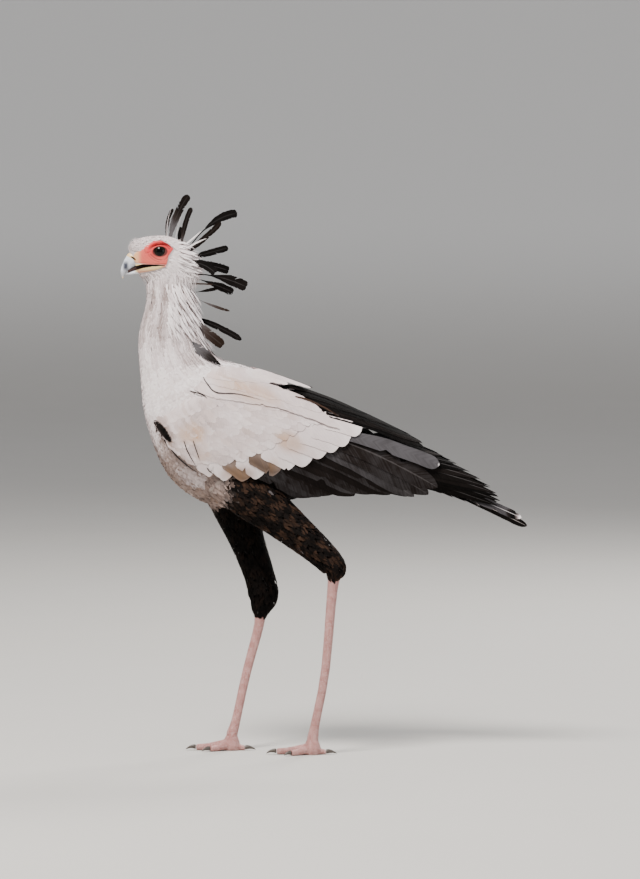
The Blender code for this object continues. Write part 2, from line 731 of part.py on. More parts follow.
def make_tail(finish, clear_of):
    """A short root block with six pairs of long feathers, the middle pair longest."""
    rings = []
    for a, half, thick in TAIL_BLOCK:
        centre = body_point(a, TAIL_BLOCK_B, 0)
        up = body_direction(thick, 0)
        rings.append(oval(centre, up, (0, half, 0), TAIL_BLOCK_SIDES, TAIL_BLOCK_SQUARENESS))
    tail = loft("tail", rings, finish)
    feathers = []
    for number, row in enumerate(TAIL_PAIRS):
        feathers += [rectrix(number, side, row, finish) for side in (LEFT, RIGHT)]
    join(tail, feathers)
    cut_clear(tail, clear_of)
    keep_largest(tail)
    return tail


# Legs and feet
def make_leg(name, side, thigh_keys, shank_keys, mats, clear_of):
    positions = np.linspace(0, len(thigh_keys) - 1, THIGH_RING_COUNT)
    rings = limb_rings(thigh_keys, side, positions, THIGH_SIDES)
    thigh = loft("thigh_" + name, rings, mats["thigh"])
    cut_clear(thigh, clear_of)
    keep_largest(thigh)
    positions = np.linspace(0, len(shank_keys) - 1, SHANK_RING_COUNT)
    rings = limb_rings(shank_keys, side, positions, SHANK_SIDES)
    shank = loft("shank_" + name, rings, mats["leg"])
    cut_clear(shank, [thigh])
    keep_largest(shank)
    make_foot(name, side, shank_keys[-1], shank, mats)


def make_foot(name, side, ankle, shank, mats):
    """Ball of the foot with four toes, cut flat underneath, and a claw in front of each toe."""
    base = np.array([ankle[0], side * ankle[3], 0.0])
    rings = []
    for height, radius in FOOT_BALL:
        fore = (radius * FOOT_BALL_LENGTH, 0, 0)
        rings.append(oval(base + (0, 0, height), fore, (0, radius, 0), FOOT_BALL_SIDES))
    foot = loft("foot_" + name, rings, mats["leg"])
    toes = []
    for toe, (turn, length, thick, thin) in TOES.items():
        heading = math.radians(turn) * side + math.radians(FOOT_TURN[side])
        way = np.array([-math.cos(heading), math.sin(heading), 0.0])
        out = np.cross((0, 0, 1), way)
        toes.append(make_toe(base, way, out, length, thick, thin, mats["leg"]))
        start = base + way * (length + CLAW_START)
        make_claw("claw_" + name + "_" + toe, start, way, out, CLAW_LENGTH[toe], thin, mats["claw"])
    join(foot, toes)
    trim_floor(foot)
    cut_clear(foot, [shank])
    keep_largest(foot)


def make_toe(base, way, out, length, thick, thin, finish):
    rings = []
    for share in np.linspace(0, 1, TOE_RING_COUNT):
        radius = thick + (thin - thick) * share + TOE_PAD * math.cos(share * TOE_PAD_PITCH)
        height = radius - TOE_SOLE + TOE_RISE * (1 - share) ** 2
        centre = base + way * length * share + (0, 0, height)
        rings.append(oval(centre, (0, 0, radius), out * radius, TOE_SIDES))
    return loft("toe", rings, finish)


def make_claw(name, start, way, out, length, toe_radius, finish):
    """A blunt curved claw that carries on from the toe's end and drops to the floor."""
    rings = []
    for share in CLAW_SHARES:
        radius = CLAW_RADIUS * (1 - share) ** 0.7 + CLAW_POINT
        height = toe_radius - CLAW_POINT - (toe_radius - 1.3) * share**2 * 0.85
        height += CLAW_ARCH * math.sin(math.pi * share)
        centre = start + way * length * share + (0, 0, height)
        rings.append(oval(centre, (0, 0, radius), out * radius * 0.8, CLAW_SIDES))
    return loft(name, rings, finish)


def trim_floor(target):
    """Cuts the soles flat at the floor."""
    bm = bmesh.new()
    bm.from_mesh(target.data)
    cut = bmesh.ops.bisect_plane(
        bm,
        geom=bm.verts[:] + bm.edges[:] + bm.faces[:],
        plane_co=(0, 0, 0),
        plane_no=(0, 0, 1),
        clear_inner=True,
    )
    rim = [e for e in cut["geom_cut"] if isinstance(e, bmesh.types.BMEdge)]
    bmesh.ops.holes_fill(bm, edges=rim)
    bmesh.ops.recalc_face_normals(bm, faces=bm.faces)
    bm.to_mesh(target.data)
    bm.free()


def main():
    for obj in list(bpy.data.objects):
        bpy.data.objects.remove(obj)
    mats = {
        "head": material("head", (0.68, 0.66, 0.64), 0.75),
        "neck": material("neck", (0.66, 0.64, 0.63), 0.75),
        "torso": material("torso", (0.62, 0.6, 0.59), 0.75),
        "wing": material("wing", (0.5, 0.48, 0.48), 0.7),
        "tail": material("tail", (0.2, 0.19, 0.19), 0.65),
        "thigh": material("thigh", (0.03, 0.027, 0.025), 0.7),
        "bill": material("bill", (0.6, 0.6, 0.62), 0.35),
        "eye": material("eye", (0.05, 0.035, 0.02), 0.08),
        "leg": material("leg", (0.55, 0.36, 0.34), 0.6),
        "claw": material("claw", (0.06, 0.05, 0.045), 0.4),
    }
    head = make_head(mats)
    neck, torso = make_trunk(mats, head)
    left_wing = make_wing("wing_left", LEFT, mats["wing"], [neck, torso])
    right_wing = mirrored("wing_right", left_wing)
    make_tail(mats["tail"], [torso, left_wing, right_wing])
    make_leg("left", LEFT, LEFT_THIGH_KEYS, LEFT_SHANK_KEYS, mats, [torso, left_wing])
    make_leg("right", RIGHT, RIGHT_THIGH_KEYS, RIGHT_SHANK_KEYS, mats, [torso, right_wing])
    for obj in bpy.data.objects:
        obj.data.shade_smooth()
        obj.data.set_sharp_from_angle(angle=SHARP_EDGE)


main()
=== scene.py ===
import math

import bpy
import numpy as np
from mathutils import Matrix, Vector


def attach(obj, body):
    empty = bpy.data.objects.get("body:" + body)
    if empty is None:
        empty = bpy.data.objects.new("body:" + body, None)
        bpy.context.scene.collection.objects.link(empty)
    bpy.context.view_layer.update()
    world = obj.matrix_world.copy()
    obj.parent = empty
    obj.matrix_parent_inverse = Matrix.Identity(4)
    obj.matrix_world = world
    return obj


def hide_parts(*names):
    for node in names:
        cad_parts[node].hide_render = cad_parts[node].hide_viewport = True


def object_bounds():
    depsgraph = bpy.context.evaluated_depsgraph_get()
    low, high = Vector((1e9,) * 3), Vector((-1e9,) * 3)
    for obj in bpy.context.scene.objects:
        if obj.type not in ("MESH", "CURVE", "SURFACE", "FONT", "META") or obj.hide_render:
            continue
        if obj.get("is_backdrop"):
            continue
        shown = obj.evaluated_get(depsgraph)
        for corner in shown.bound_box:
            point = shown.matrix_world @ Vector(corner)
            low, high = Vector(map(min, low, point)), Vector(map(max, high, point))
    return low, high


# Looks of a life-size secretary bird. Lengths are in millimetres until a mesh is made. The bird
# faces -X, its left side is at -Y, and it stands on z = 0.
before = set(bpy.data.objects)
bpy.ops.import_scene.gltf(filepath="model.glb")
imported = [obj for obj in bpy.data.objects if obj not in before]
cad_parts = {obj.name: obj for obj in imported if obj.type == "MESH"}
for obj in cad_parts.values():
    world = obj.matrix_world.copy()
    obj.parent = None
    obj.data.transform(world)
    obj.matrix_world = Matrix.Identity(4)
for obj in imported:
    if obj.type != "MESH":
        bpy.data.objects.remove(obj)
cad_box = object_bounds()
MM = 0.001
LEFT, RIGHT = -1, 1
SIDES = ((LEFT, "left"), (RIGHT, "right"))

# Studio: a long lens nine metres off and a little raised, as in the photograph, over a pale floor
# that curves up into a pale wall all round, with one broad key lamp and two soft ones.
# The photograph's size, the pixel where the bird's origin lies, and millimetres to the pixel
PHOTO_SIZE = (640, 879)
PHOTO_ORIGIN = (324, 753)
PIXEL = 1.85
CAMERA_DISTANCE = 9000.0
CAMERA_RISE = math.radians(3)
SENSOR = 36.0
aim = ((PHOTO_SIZE[0] / 2 - PHOTO_ORIGIN[0]) * PIXEL, 0.0,
       (PHOTO_ORIGIN[1] - PHOTO_SIZE[1] / 2) * PIXEL)


def put(name, data):
    """A new object in the scene."""
    made = bpy.data.objects.new(name, data)
    bpy.context.scene.collection.objects.link(made)
    return made


camera_data = bpy.data.cameras.new("camera")
camera_data.sensor_width = SENSOR
camera_data.lens = SENSOR * CAMERA_DISTANCE / (PHOTO_SIZE[1] * PIXEL)
camera_data.clip_end = 100
camera = put("camera", camera_data)
camera.location = (aim[0] * MM, -CAMERA_DISTANCE * math.cos(CAMERA_RISE) * MM,
                   (aim[2] + CAMERA_DISTANCE * math.sin(CAMERA_RISE)) * MM)
camera.rotation_euler = (math.pi / 2 - CAMERA_RISE, 0, 0)
bpy.context.scene.camera = camera


class Wire:
    """One output in a material's node tree; sums and products of wires add Math nodes."""

    def __init__(self, tree, socket=None):
        self.tree, self.socket = tree, socket

    def node(self, kind, inputs=None, output=0, **settings):
        made = self.tree.nodes.new(kind)
        for key, value in settings.items():
            if key == "stops":
                ramp = made.color_ramp.elements
                while len(ramp) < len(value):
                    ramp.new(0.5)
                for element, (place, colour) in zip(ramp, value):
                    element.position = place
                    element.color = (*colour, 1)
            else:
                setattr(made, key, value)
        for key, value in (inputs or {}).items():
            if isinstance(value, Wire):
                self.tree.links.new(value.socket, made.inputs[key])
            else:
                made.inputs[key].default_value = value
        return Wire(self.tree, made.outputs[output])

    def maths(self, operation, *values):
        return self.node("ShaderNodeMath", dict(enumerate(values)), operation=operation)

    def __add__(self, other):
        return self.maths("ADD", self, other)

    __radd__ = __add__

    def __mul__(self, other):
        return self.maths("MULTIPLY", self, other)

    __rmul__ = __mul__

    def __sub__(self, other):
        return self.maths("SUBTRACT", self, other)

    def step(self, low, high):
        """0 at low and 1 at high with a soft slope between; low may be the larger."""
        settings = {"Value": self, "From Min": low, "From Max": high}
        return self.node("ShaderNodeMapRange", settings, interpolation_type="SMOOTHSTEP")

    def near(self, middle, reach):
        """1 where this value is at middle, falling softly to 0 at reach from it."""
        return self.maths("ABSOLUTE", self - middle).step(reach, reach * 0.2)

    def ramp(self, *stops):
        return self.node("ShaderNodeValToRGB", {0: self}, stops=stops)

    def attribute(self, name):
        return self.node("ShaderNodeAttribute", output="Fac", attribute_name=name)

    def place(self):
        return self.node("ShaderNodeTexCoord", output="Object")

    def axis(self, name):
        """One of the object's own coordinates, in millimetres."""
        return self.node("ShaderNodeSeparateXYZ", {0: self.place()}, output=name) * (1 / MM)

    def noise(self, vector, scale, detail=2.0, roughness=0.5):
        inputs = {"Vector": vector, "Scale": scale, "Detail": detail, "Roughness": roughness}
        return self.node("ShaderNodeTexNoise", inputs)

    def mix(self, amount, first, second):
        """Colour mix: first where amount is 0 and second where it is 1."""
        inputs = {0: amount}
        for socket, value in ((6, first), (7, second)):
            inputs[socket] = value if isinstance(value, Wire) else (*value, 1)
        return self.node("ShaderNodeMix", inputs, output=2, data_type="RGBA")

    def under(self, *layers):
        """This colour with others laid over it, each by its own amount."""
        made = self
        for amount, colour in layers:
            made = self.mix(amount, made, colour)
        return made

    def bump(self, height, depth, strength=1.0):
        inputs = {"Height": height, "Distance": depth, "Strength": strength}
        return self.node("ShaderNodeBump", inputs)


def new_material(name):
    made = bpy.data.materials.new(name)
    made.use_nodes = True
    return made, Wire(made.node_tree)


def surface(colour, roughness, normal=None, **sockets):
    """Wires a colour, a roughness and a bump to the shader; sockets holds plain values."""
    shader = colour.tree.nodes["Principled BSDF"]
    wired = {"Base Color": colour, "Roughness": roughness, "Normal": normal}
    for key, value in wired.items():
        if isinstance(value, Wire):
            colour.tree.links.new(value.socket, shader.inputs[key])
        elif value is not None:
            shader.inputs[key].default_value = value
    for key, value in sockets.items():
        shader.inputs[key.replace("_", " ")].default_value = value


def wear(obj, material):
    """Shades a piece smoothly and gives it its one material."""
    obj.data.shade_smooth()
    obj.data.materials.clear()
    obj.data.materials.append(material)


# The floor's sizes, in metres
FLAT_RADII = (0.001, 3, 8)
FLOOR_RADIUS, WALL_CURVE, WALL_HEIGHT = 13.0, 6.0, 9.0
CURVE_STEPS = 13
FLOOR_TURNS = 96
FLOOR_DROP = 0.0003


def studio_floor():
    """Flat disc whose edge curves up into a round wall, turned from a profile."""
    turn = np.linspace(0, math.pi / 2, CURVE_STEPS)
    radii = [*FLAT_RADII, *(FLOOR_RADIUS + WALL_CURVE * np.sin(turn)), FLOOR_RADIUS + WALL_CURVE]
    heights = [*(0 for _ in FLAT_RADII), *(WALL_CURVE * (1 - np.cos(turn))), WALL_HEIGHT]
    angles = np.arange(FLOOR_TURNS) * 2 * math.pi / FLOOR_TURNS
    points, faces = [], []
    for radius, height in zip(radii, heights):
        height -= FLOOR_DROP
        points += [(radius * math.cos(w), radius * math.sin(w), height) for w in angles]
    for r in range(len(radii) - 1):
        for k in range(FLOOR_TURNS):
            n = (k + 1) % FLOOR_TURNS
            a, b = r * FLOOR_TURNS, (r + 1) * FLOOR_TURNS
            faces.append((a + k, b + k, b + n, a + n))
    mesh = bpy.data.meshes.new("floor")
    mesh.from_pydata(points, [], faces)
    return put("floor", mesh)


floor = studio_floor()
floor_material, wire = new_material("floor")
speckle = wire.noise(wire.place(), 3.0, 4.0)
ground = wire.mix(speckle * 0.25, (0.56, 0.54, 0.51), (0.48, 0.46, 0.43))
surface(wire.mix(wire.axis("Z").step(10, 900), ground, (0.88, 0.865, 0.84)), 0.85)
wear(floor, floor_material)
floor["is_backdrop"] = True


def soft_light(name, place, size, power, colour):
    """A round lamp that faces the bird. Its place and size are in metres."""
    data = bpy.data.lights.new(name, "AREA")
    data.shape = "DISK"
    data.size = size
    data.energy = power
    data.color = colour
    lamp = put(name, data)
    lamp.location = place
    x, y, z = np.array(aim) * MM - np.array(place)
    lamp.rotation_euler = (math.atan2(math.hypot(x, y), -z), 0, math.atan2(-x, y))


soft_light("key", (-1.9, -2.7, 5.2), 2.0, 620, (1.0, 0.965, 0.92))
soft_light("fill", (3.6, -3.0, 1.6), 3.0, 60, (0.93, 0.96, 1.0))
soft_light("back", (2.2, 3.6, 3.4), 1.8, 200, (1.0, 0.98, 0.95))
world = bpy.data.worlds.new("studio")
world.use_nodes = True
world.node_tree.nodes["Background"].inputs[0].default_value = (0.93, 0.95, 1.0, 1)
world.node_tree.nodes["Background"].inputs[1].default_value = 0.5
bpy.context.scene.world = world

# Bill: two halves of polished horn. The hook is bluish white with a dusky smudge and a cream tip,
# the cere round each nostril slit is cream, and the lower half is cream over olive yellow.
# Both halves from root to tip: underside x and z, back x and z, half width
UPPER_BILL_KEYS = [
    (-336, 903, -338, 926, 10),
    (-346, 902.5, -350, 926, 9.6),
    (-352, 899.8, -360.5, 924.5, 8.6),
    (-358, 896, -366.5, 916, 7),
    (-363.5, 891.5, -371.5, 906, 5.2),
    (-367, 886.5, -375, 895, 3.4),
    (-369.5, 881.5, -375, 886, 1.9),
    (-371, 877.5, -372.5, 878.5, 0.7),
]
LOWER_BILL_KEYS = [
    (-300, 890.5, -298, 900.4, 10.5),
    (-318, 889, -317, 899.6, 10.4),
    (-334, 888, -334, 897, 9.2),
    (-350, 886, -350, 892.2, 6.6),
    (-360, 884.4, -360, 888.6, 4.2),
    (-366, 884.4, -366, 886.2, 1.6),
]
BILL_SQUARENESS, BILL_START = 2.2, 0.2
NOSTRIL = (-352, 915.5)
NOSTRIL_LENGTH, NOSTRIL_HEIGHT, NOSTRIL_SLOPE = 11.0, 3.0, math.radians(-35)
# Distance from the midline and share of the full size, from the slit's floor outward
NOSTRIL_STEPS = ((4.4, 0.7), (6.0, 1.0), (14, 1.1))
# The cere ends where x times the slope, plus z, is at this line
CERE_SLOPE, CERE_LINE = 0.52, 730.2
SMUDGE = (-366.0, 900.5)
SHARP_ANGLE = math.radians(50)


def spline(t, xs, ys):
    """Smooth curve through ys at xs, with Catmull-Rom slopes, clamped outside the ends."""
    xs, ys = np.asarray(xs, float), np.asarray(ys, float)
    t = np.clip(np.asarray(t, float), xs[0], xs[-1])
    slopes = np.gradient(ys, xs, axis=0)
    i = np.clip(np.searchsorted(xs, t, side="right") - 1, 0, len(xs) - 2)
    h = xs[i + 1] - xs[i]
    u = (t - xs[i]) / h
    if ys.ndim == 2:
        h, u = h[..., None], u[..., None]
    return (
        (2 * u**3 - 3 * u**2 + 1) * ys[i]
        + (u**3 - 2 * u**2 + u) * h * slopes[i]
        + (3 * u**2 - 2 * u**3) * ys[i + 1]
        + (u**3 - u**2) * h * slopes[i + 1]
    )


def oval(centre, up, out, count, square=2.0):
    """Closed ring of points: a superellipse on the axes up and out."""
    angles = np.arange(count) * 2 * math.pi / count
    c, s = np.cos(angles), np.sin(angles)
    bulge = (np.abs(c) ** square + np.abs(s) ** square) ** (-1 / square)
    return (
        np.asarray(centre, float)
        + np.outer(s * bulge, np.asarray(up, float))
        + np.outer(c * bulge, np.asarray(out, float))
    )


def outline_rings(keys, positions, count, square, inset=0.0):
    """Rings between an underside and a back line, drawn in by inset on every side."""
    rings = []
    for x0, z0, x1, z1, half in spline(positions, np.arange(len(keys)), keys):
        low, high = np.array([x0, 0, z0]), np.array([x1, 0, z1])
        reach = np.linalg.norm(high - low) / 2
        up = (high - low) / 2 * max(reach - inset, 1) / reach
        out = (0, max(half - inset, 1), 0)
        rings.append(oval((low + high) / 2, up, out, count, square))
    return np.array(rings)


def mesh_object(name, points, faces):
    """Mesh object from points in millimetres."""
    mesh = bpy.data.meshes.new(name)
    mesh.from_pydata((np.asarray(points) * MM).tolist(), [], faces)
    return put(name, mesh)


def select_only(*objects):
    bpy.ops.object.select_all(action="DESELECT")
    for obj in objects:
        obj.select_set(True)
    bpy.context.view_layer.objects.active = objects[0]


def outward(obj):
    """Merges doubled points and turns every face outward."""
    select_only(obj)
    bpy.ops.object.mode_set(mode="EDIT")
    bpy.ops.mesh.select_all(action="SELECT")
    bpy.ops.mesh.remove_doubles(threshold=1e-6)
    bpy.ops.mesh.normals_make_consistent(inside=False)
    bpy.ops.object.mode_set(mode="OBJECT")
    return obj


def loft(name, rings, closed_path=False):
    """Skins closed rings of equal length, with a flat face over each end."""
    count, total = len(rings[0]), len(rings)
    faces = []
    for r in range(total if closed_path else total - 1):
        a, b = r * count, (r + 1) % total * count
        for k in range(count):
            n = (k + 1) % count
            faces.append((a + k, a + n, b + n, b + k))
    if not closed_path:
        faces.append(tuple(range(count)))
        faces.append(tuple((total - 1) * count + k for k in range(count)))
    return outward(mesh_object(name, np.concatenate(rings), faces))


def modify(obj, kind, **settings):
    """Adds a modifier with these settings and applies it."""
    change = obj.modifiers.new(kind.lower(), kind)
    for key, value in settings.items():
        setattr(change, key, value)
    select_only(obj)
    bpy.ops.object.modifier_apply(modifier=change.name)
    return obj


def combine(obj, operation, other):
    """Cuts a closed piece from another with DIFFERENCE, or joins it on with UNION."""
    modify(obj, "BOOLEAN", operation=operation, solver="MANIFOLD", object=other)
    bpy.data.objects.remove(other)


def nostril_cutter(side):
    along = np.array([math.cos(NOSTRIL_SLOPE), 0, math.sin(NOSTRIL_SLOPE)])
    across = np.array([-along[2], 0, along[0]])
    rings = []
    for y, size in NOSTRIL_STEPS:
        at = np.array([NOSTRIL[0], side * y, NOSTRIL[1]])
        rings.append(oval(at, across * NOSTRIL_HEIGHT / 2 * size,
                          along * NOSTRIL_LENGTH / 2 * size, 24))
    return loft("nostril", rings)


def bill_half(name, keys, grow=0.0):
    places = np.linspace(BILL_START, len(keys) - 1, 64)
    return loft(name, outline_rings(keys, places, 48, BILL_SQUARENESS, -grow))


bill_upper = bill_half("horn_upper", UPPER_BILL_KEYS)
for side in (LEFT, RIGHT):
    combine(bill_upper, "DIFFERENCE", nostril_cutter(side))
bill_lower = bill_half("horn_lower", LOWER_BILL_KEYS)
bill_material, wire = new_material("bill")
x, z = wire.axis("X"), wire.axis("Z")
streak_place = wire.node("ShaderNodeMapping", {"Vector": wire.place(), "Scale": (1, 1, 0.4)})
streak = wire.noise(streak_place, 420, 3.0)
smudge = x.near(SMUDGE[0], 7.5) * z.near(SMUDGE[1], 13.0) * (streak * 0.3 + 0.8)
cere = (x * CERE_SLOPE + z).step(CERE_LINE - 1.5, CERE_LINE + 1.5)
lower = z.step(898.5, 896.5) * x.step(-352, -344) * z.step(888.5, 890.5)
# Painted shade: the inside of each nostril slit is painted near black
slit = wire.maths("ABSOLUTE", wire.axis("Y")).step(7.4, 6.6)
slit = slit * x.near(NOSTRIL[0], 8) * z.near(NOSTRIL[1], 6)
horn = wire.mix(streak, (0.52, 0.57, 0.66), (0.84, 0.86, 0.90)).under(
    (smudge, (0.020, 0.024, 0.045)),
    (z.step(896, 886) * x.step(-352, -364) * 0.5, (0.16, 0.13, 0.11)),
    (z.step(883, 879), (0.66, 0.52, 0.34)),
    (cere, (0.80, 0.56, 0.27)),
    (lower, (0.56, 0.40, 0.14)),
    (slit, (0.03, 0.015, 0.01)),
)
surface(horn, streak * 0.15 + 0.24, wire.bump(streak, 0.0002))
for piece, node in ((bill_upper, "bill_upper"), (bill_lower, "bill_lower")):
    wear(piece, bill_material)
    piece.data.set_sharp_from_angle(angle=SHARP_ANGLE)
    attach(piece, "root")
    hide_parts(node)

# Eyes: a wet ball with a wide black pupil, set deep between the lids. The iris is so dark a brown
# that it hardly shows round the pupil.
EYE_CENTRE = (-302, 14.2, 928)
EYE_RADIUS = 13.4
IRIS_RADIUS, PUPIL_RADIUS = 10.4, 6.6


def eyeball(name, side, grow=0.0):
    bpy.ops.object.select_all(action="DESELECT")
    x, y, z = EYE_CENTRE
    bpy.ops.mesh.primitive_uv_sphere_add(
        segments=64, ring_count=48, radius=(EYE_RADIUS + grow) * MM,
        location=(x * MM, side * y * MM, z * MM), rotation=(math.pi / 2, 0, 0))
    bpy.ops.object.transform_apply(location=True, rotation=True, scale=True)
    made = bpy.context.active_object
    made.name = name
    return made


eye_material, wire = new_material("eye")
along, across = wire.axis("X") - EYE_CENTRE[0], wire.axis("Z") - EYE_CENTRE[2]
from_axis = wire.maths("SQRT", along * along + across * across)
fleck = wire.noise(wire.place(), 1500, 2.0)
iris = wire.mix(fleck, (0.004, 0.0035, 0.002), (0.014, 0.011, 0.005))
pupil_edge = from_axis.step(PUPIL_RADIUS * 0.93, PUPIL_RADIUS * 1.07)
colour = wire.mix(pupil_edge, (0.001, 0.001, 0.001), iris).under(
    (from_axis.step(IRIS_RADIUS * 0.86, IRIS_RADIUS), (0.006, 0.005, 0.004)),
)
surface(colour, 0.08, Specular_IOR_Level=0.12, Coat_Weight=0.08, Coat_Roughness=0.02)
for side, side_name in SIDES:
    name = "eye_" + side_name
    ball = eyeball("ball_" + name, side)
    wear(ball, eye_material)
    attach(ball, "root")
    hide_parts(name)

# Skin: one hide over head, neck, trunk, arms, thighs, legs and feet. It lies inside the bird's
# outline by the depth of the coat, and shows only on the creased red face and the scaly legs.
COAT_DEPTH = 7.0
CROWN_DEPTH = 2.0
ARM_DEPTH = 3.0
# Neck and trunk, then head: underside x and z, back x and z, half width
TRUNK_KEYS = [
    (-316, 890, -266, 912, 17),
    (-327, 866, -253, 896, 23),
    (-328, 834, -247, 846, 27),
    (-342, 768, -234, 784, 35),
    (-339, 703, -203, 736, 49),
    (-327, 609, -136, 712, 71),
    (-285, 511, -78, 684, 80),
    (-207, 459, -24, 652, 79),
    (-115, 457, 26, 620, 69),
    (-11, 483, 78, 592, 49),
    (70, 500, 128, 566, 29),
    (118, 509, 159, 542, 15),
]
HEAD_KEYS = [
    (-346, 900, -360.5, 926, 5.5),
    (-344.5, 894, -360, 933, 8.5),
    (-343, 886, -356, 944, 12.5),
    (-338, 879.5, -344, 951, 17),
    (-327, 875.5, -329, 955, 21),
    (-308, 873, -309, 957, 24),
    (-288, 871, -288, 956, 25.5),
    (-269, 870, -269, 949, 24.5),
    (-252, 873, -253, 935, 19.5),
    (-243, 884, -243, 918, 11),
]
TRUNK_SQUARENESS, HEAD_SQUARENESS = 2.15, 2.25
TRUNK_START, TRUNK_END = 0.25, 10.9
# Grain of each remeshed part and how many rounds smooth it
BODY_VOXEL, HEAD_VOXEL, LEG_VOXEL = 4.0, 0.97, 1.6
BODY_ROUNDS, HEAD_ROUNDS, LEG_ROUNDS = 4, 2, 6
# The body's chart in the side view: a runs back along it, down to the tail, and b up across it
BODY_ORIGIN = (-229, 616)
BODY_SLOPE = math.radians(20)
# The smooth form that the folded wing hugs: its top, bottom and half width at each a
MANTLE_A = (-80, -37, 0, 74, 148, 222, 296, 370, 444, 500, 566)
MANTLE_TOP = (50, 92, 111, 114, 115, 115, 109, 101, 92, 81, 64)
MANTLE_BOTTOM = (-82, -108, -126, -135, -115, -80, -50, -18, 6, 20, 34)
MANTLE_HALF_WIDTH = (34, 62, 77, 85, 85, 78, 66, 50, 34, 24, 15)
# The folded arm: its lower edge, its height over that form and its depth at each a
CORE_A = (-76, -66, -40, 0, 50, 110, 160, 200, 235, 262)
CORE_LOW = (-14, -44, -62, -74, -72, -58, -36, -8, 22, 52)
CORE_LIFT = (2, 3, 4.5, 5, 4.5, 3, 0.5, -2.5, -4, -5)
CORE_DEPTH = (6, 18, 30, 38, 38, 34, 26, 16, 9, 5)
CORE_TOP, CORE_FRONT_TOP = math.radians(68), math.radians(33)  # turn at its upper edge
# Tail's root: half width and half height at each a
TAIL_BLOCK = ((377.2, 12, 11), (400, 15, 10), (440, 17, 6), (466, 13, 3))
TAIL_BLOCK_B = 38
EYE_ROOM, BILL_ROOM = 0.3, 0.15  # left clear round each piece
LID_LENGTH, LID_HEIGHT, LID_THICKNESS, LID_DEPTH, LID_REACH = 13.4, 9.6, 1.5, 2.8, 22.2
BROW_LINE = [(-325, 19, 931), (-316, 22.0, 941), (-303, 23.4, 945.4), (-290, 23.2, 943.4),
             (-279, 21.6, 935)]
BROW_RADII, BROW_STEPS = (1.0, 1.9, 2.2, 2.1, 1.0), 25
# Mouth: x, lower and upper edge of the gap
MOUTH_KEYS = [
    (-376, 884.5, 888.0),
    (-362, 888.0, 892.5),
    (-350.7, 892.3, 899.6),
    (-334, 897.4, 904.0),
    (-317, 900.4, 903.6),
    (-304, 901.3, 903.2),
    (-293, 901.6, 902.2),
]
MOUTH_REACH, MOUTH_STEPS, BEHIND_TIP = 40, 37, 6
TONGUE_WIDTH, TONGUE_GRIP = 2.8, 0.7
# Side view of the bare face, and of the bare lips and jaw below it
FACE = [(-346, 927), (-338, 930), (-331, 937), (-321, 945.5), (-310, 949), (-299, 948.5),
        (-287, 942), (-277, 933), (-282, 926), (-286, 920), (-288, 910), (-290, 903),
        (-306, 903.9), (-321, 904.2), (-334, 905.2), (-347, 906.4), (-353, 912), (-350, 923)]
LIPS = [(-372, 880), (-362, 884), (-351, 886.5), (-330, 889.5), (-312, 893), (-300, 897),
        (-291, 900), (-291, 902.4), (-306, 903.4), (-320, 903.6), (-334, 904.6), (-352, 904.6),
        (-372, 899)]
# Where each foot stands: x and y
FOOT_PLACES = ((-21.5, -44.0), (-172.0, 26.0))
TOE_SCALE, TOE_RIDGE, WRINKLE_DEPTH = 4.2, 0.45, 0.10
# Where the pale belly meets the black vent and thigh: z and x
BELLY_EDGE = ((440, 459, 477, 505, 533, 560), (-214, -198, -184, -178, -172, -168))
# Creases of the face: their line in the side view, width and depth
CREASES = [
    ([(-320, 931.5), (-314, 937.5), (-304, 941.3), (-295, 940.6), (-289, 937), (-284, 932)],
     0.7, 0.9),
    ([(-297, 945), (-288.4, 940.6), (-281.5, 935)], 0.8, 0.7),
    ([(-319.5, 922), (-313, 916.6), (-305, 912.4), (-299, 912)], 0.8, 0.9),
    ([(-326, 927), (-321, 919), (-313, 912), (-303, 908)], 0.7, 0.5),
    ([(-331, 931), (-327, 924), (-319, 929)], 0.7, 0.5),
    ([(-285, 928), (-288, 918), (-294, 912)], 0.7, 0.5),
]


def curve(points, count):
    """Smooth path of count points through a few given ones."""
    places = np.arange(len(points))
    return spline(np.linspace(0, len(points) - 1, count), places, np.array(points, float))


def unit(v):
    v = np.asarray(v, float)
    return v / np.maximum(np.linalg.norm(v, axis=-1, keepdims=True), 1e-12)


def smooth(x):
    """0 below 0 and 1 above 1, with a soft slope between."""
    x = np.clip(x, 0, 1)
    return x * x * (3 - 2 * x)


def body_point(a, b, y):
    """The point at a and b of the body's chart, y out from the midline."""
    a, b, y = np.broadcast_arrays(*(np.asarray(v, float) for v in (a, b, y)))
    c, s = math.cos(BODY_SLOPE), math.sin(BODY_SLOPE)
    return np.stack(
        [BODY_ORIGIN[0] + a * c + b * s, y, BODY_ORIGIN[1] - a * s + b * c], axis=-1
    )


def body_direction(b, y):
    return body_point(0, b, y) - body_point(0, 0, 0)


def body_chart(point):
    """The chart's a and b of points, given by x and z or by x, y and z."""
    c, s = math.cos(BODY_SLOPE), math.sin(BODY_SLOPE)
    dx, dz = point[..., 0] - BODY_ORIGIN[0], point[..., -1] - BODY_ORIGIN[1]
    return dx * c - dz * s, dx * s + dz * c


def mantle_size(a):
    """Half width, half height and middle of the form that the wing hugs."""
    top = spline(a, MANTLE_A, MANTLE_TOP)
    bottom = spline(a, MANTLE_A, MANTLE_BOTTOM)
    return spline(a, MANTLE_A, MANTLE_HALF_WIDTH), (top - bottom) / 2, (top + bottom) / 2


def wing_point(side, a, angle, lift):
    """The point above the hugged form at a, with its turn up from the side as the angle."""
    width, height, middle = mantle_size(a)
    b = middle + (height + lift) * np.sin(angle)
    return body_point(a, b, side * (width + lift) * np.cos(angle))


def wing_angle(a, b):
    """The turn at which the hugged form reaches b."""
    _, height, middle = mantle_size(a)
    return np.arcsin(np.clip((b - middle) / height, -0.985, 0.985))


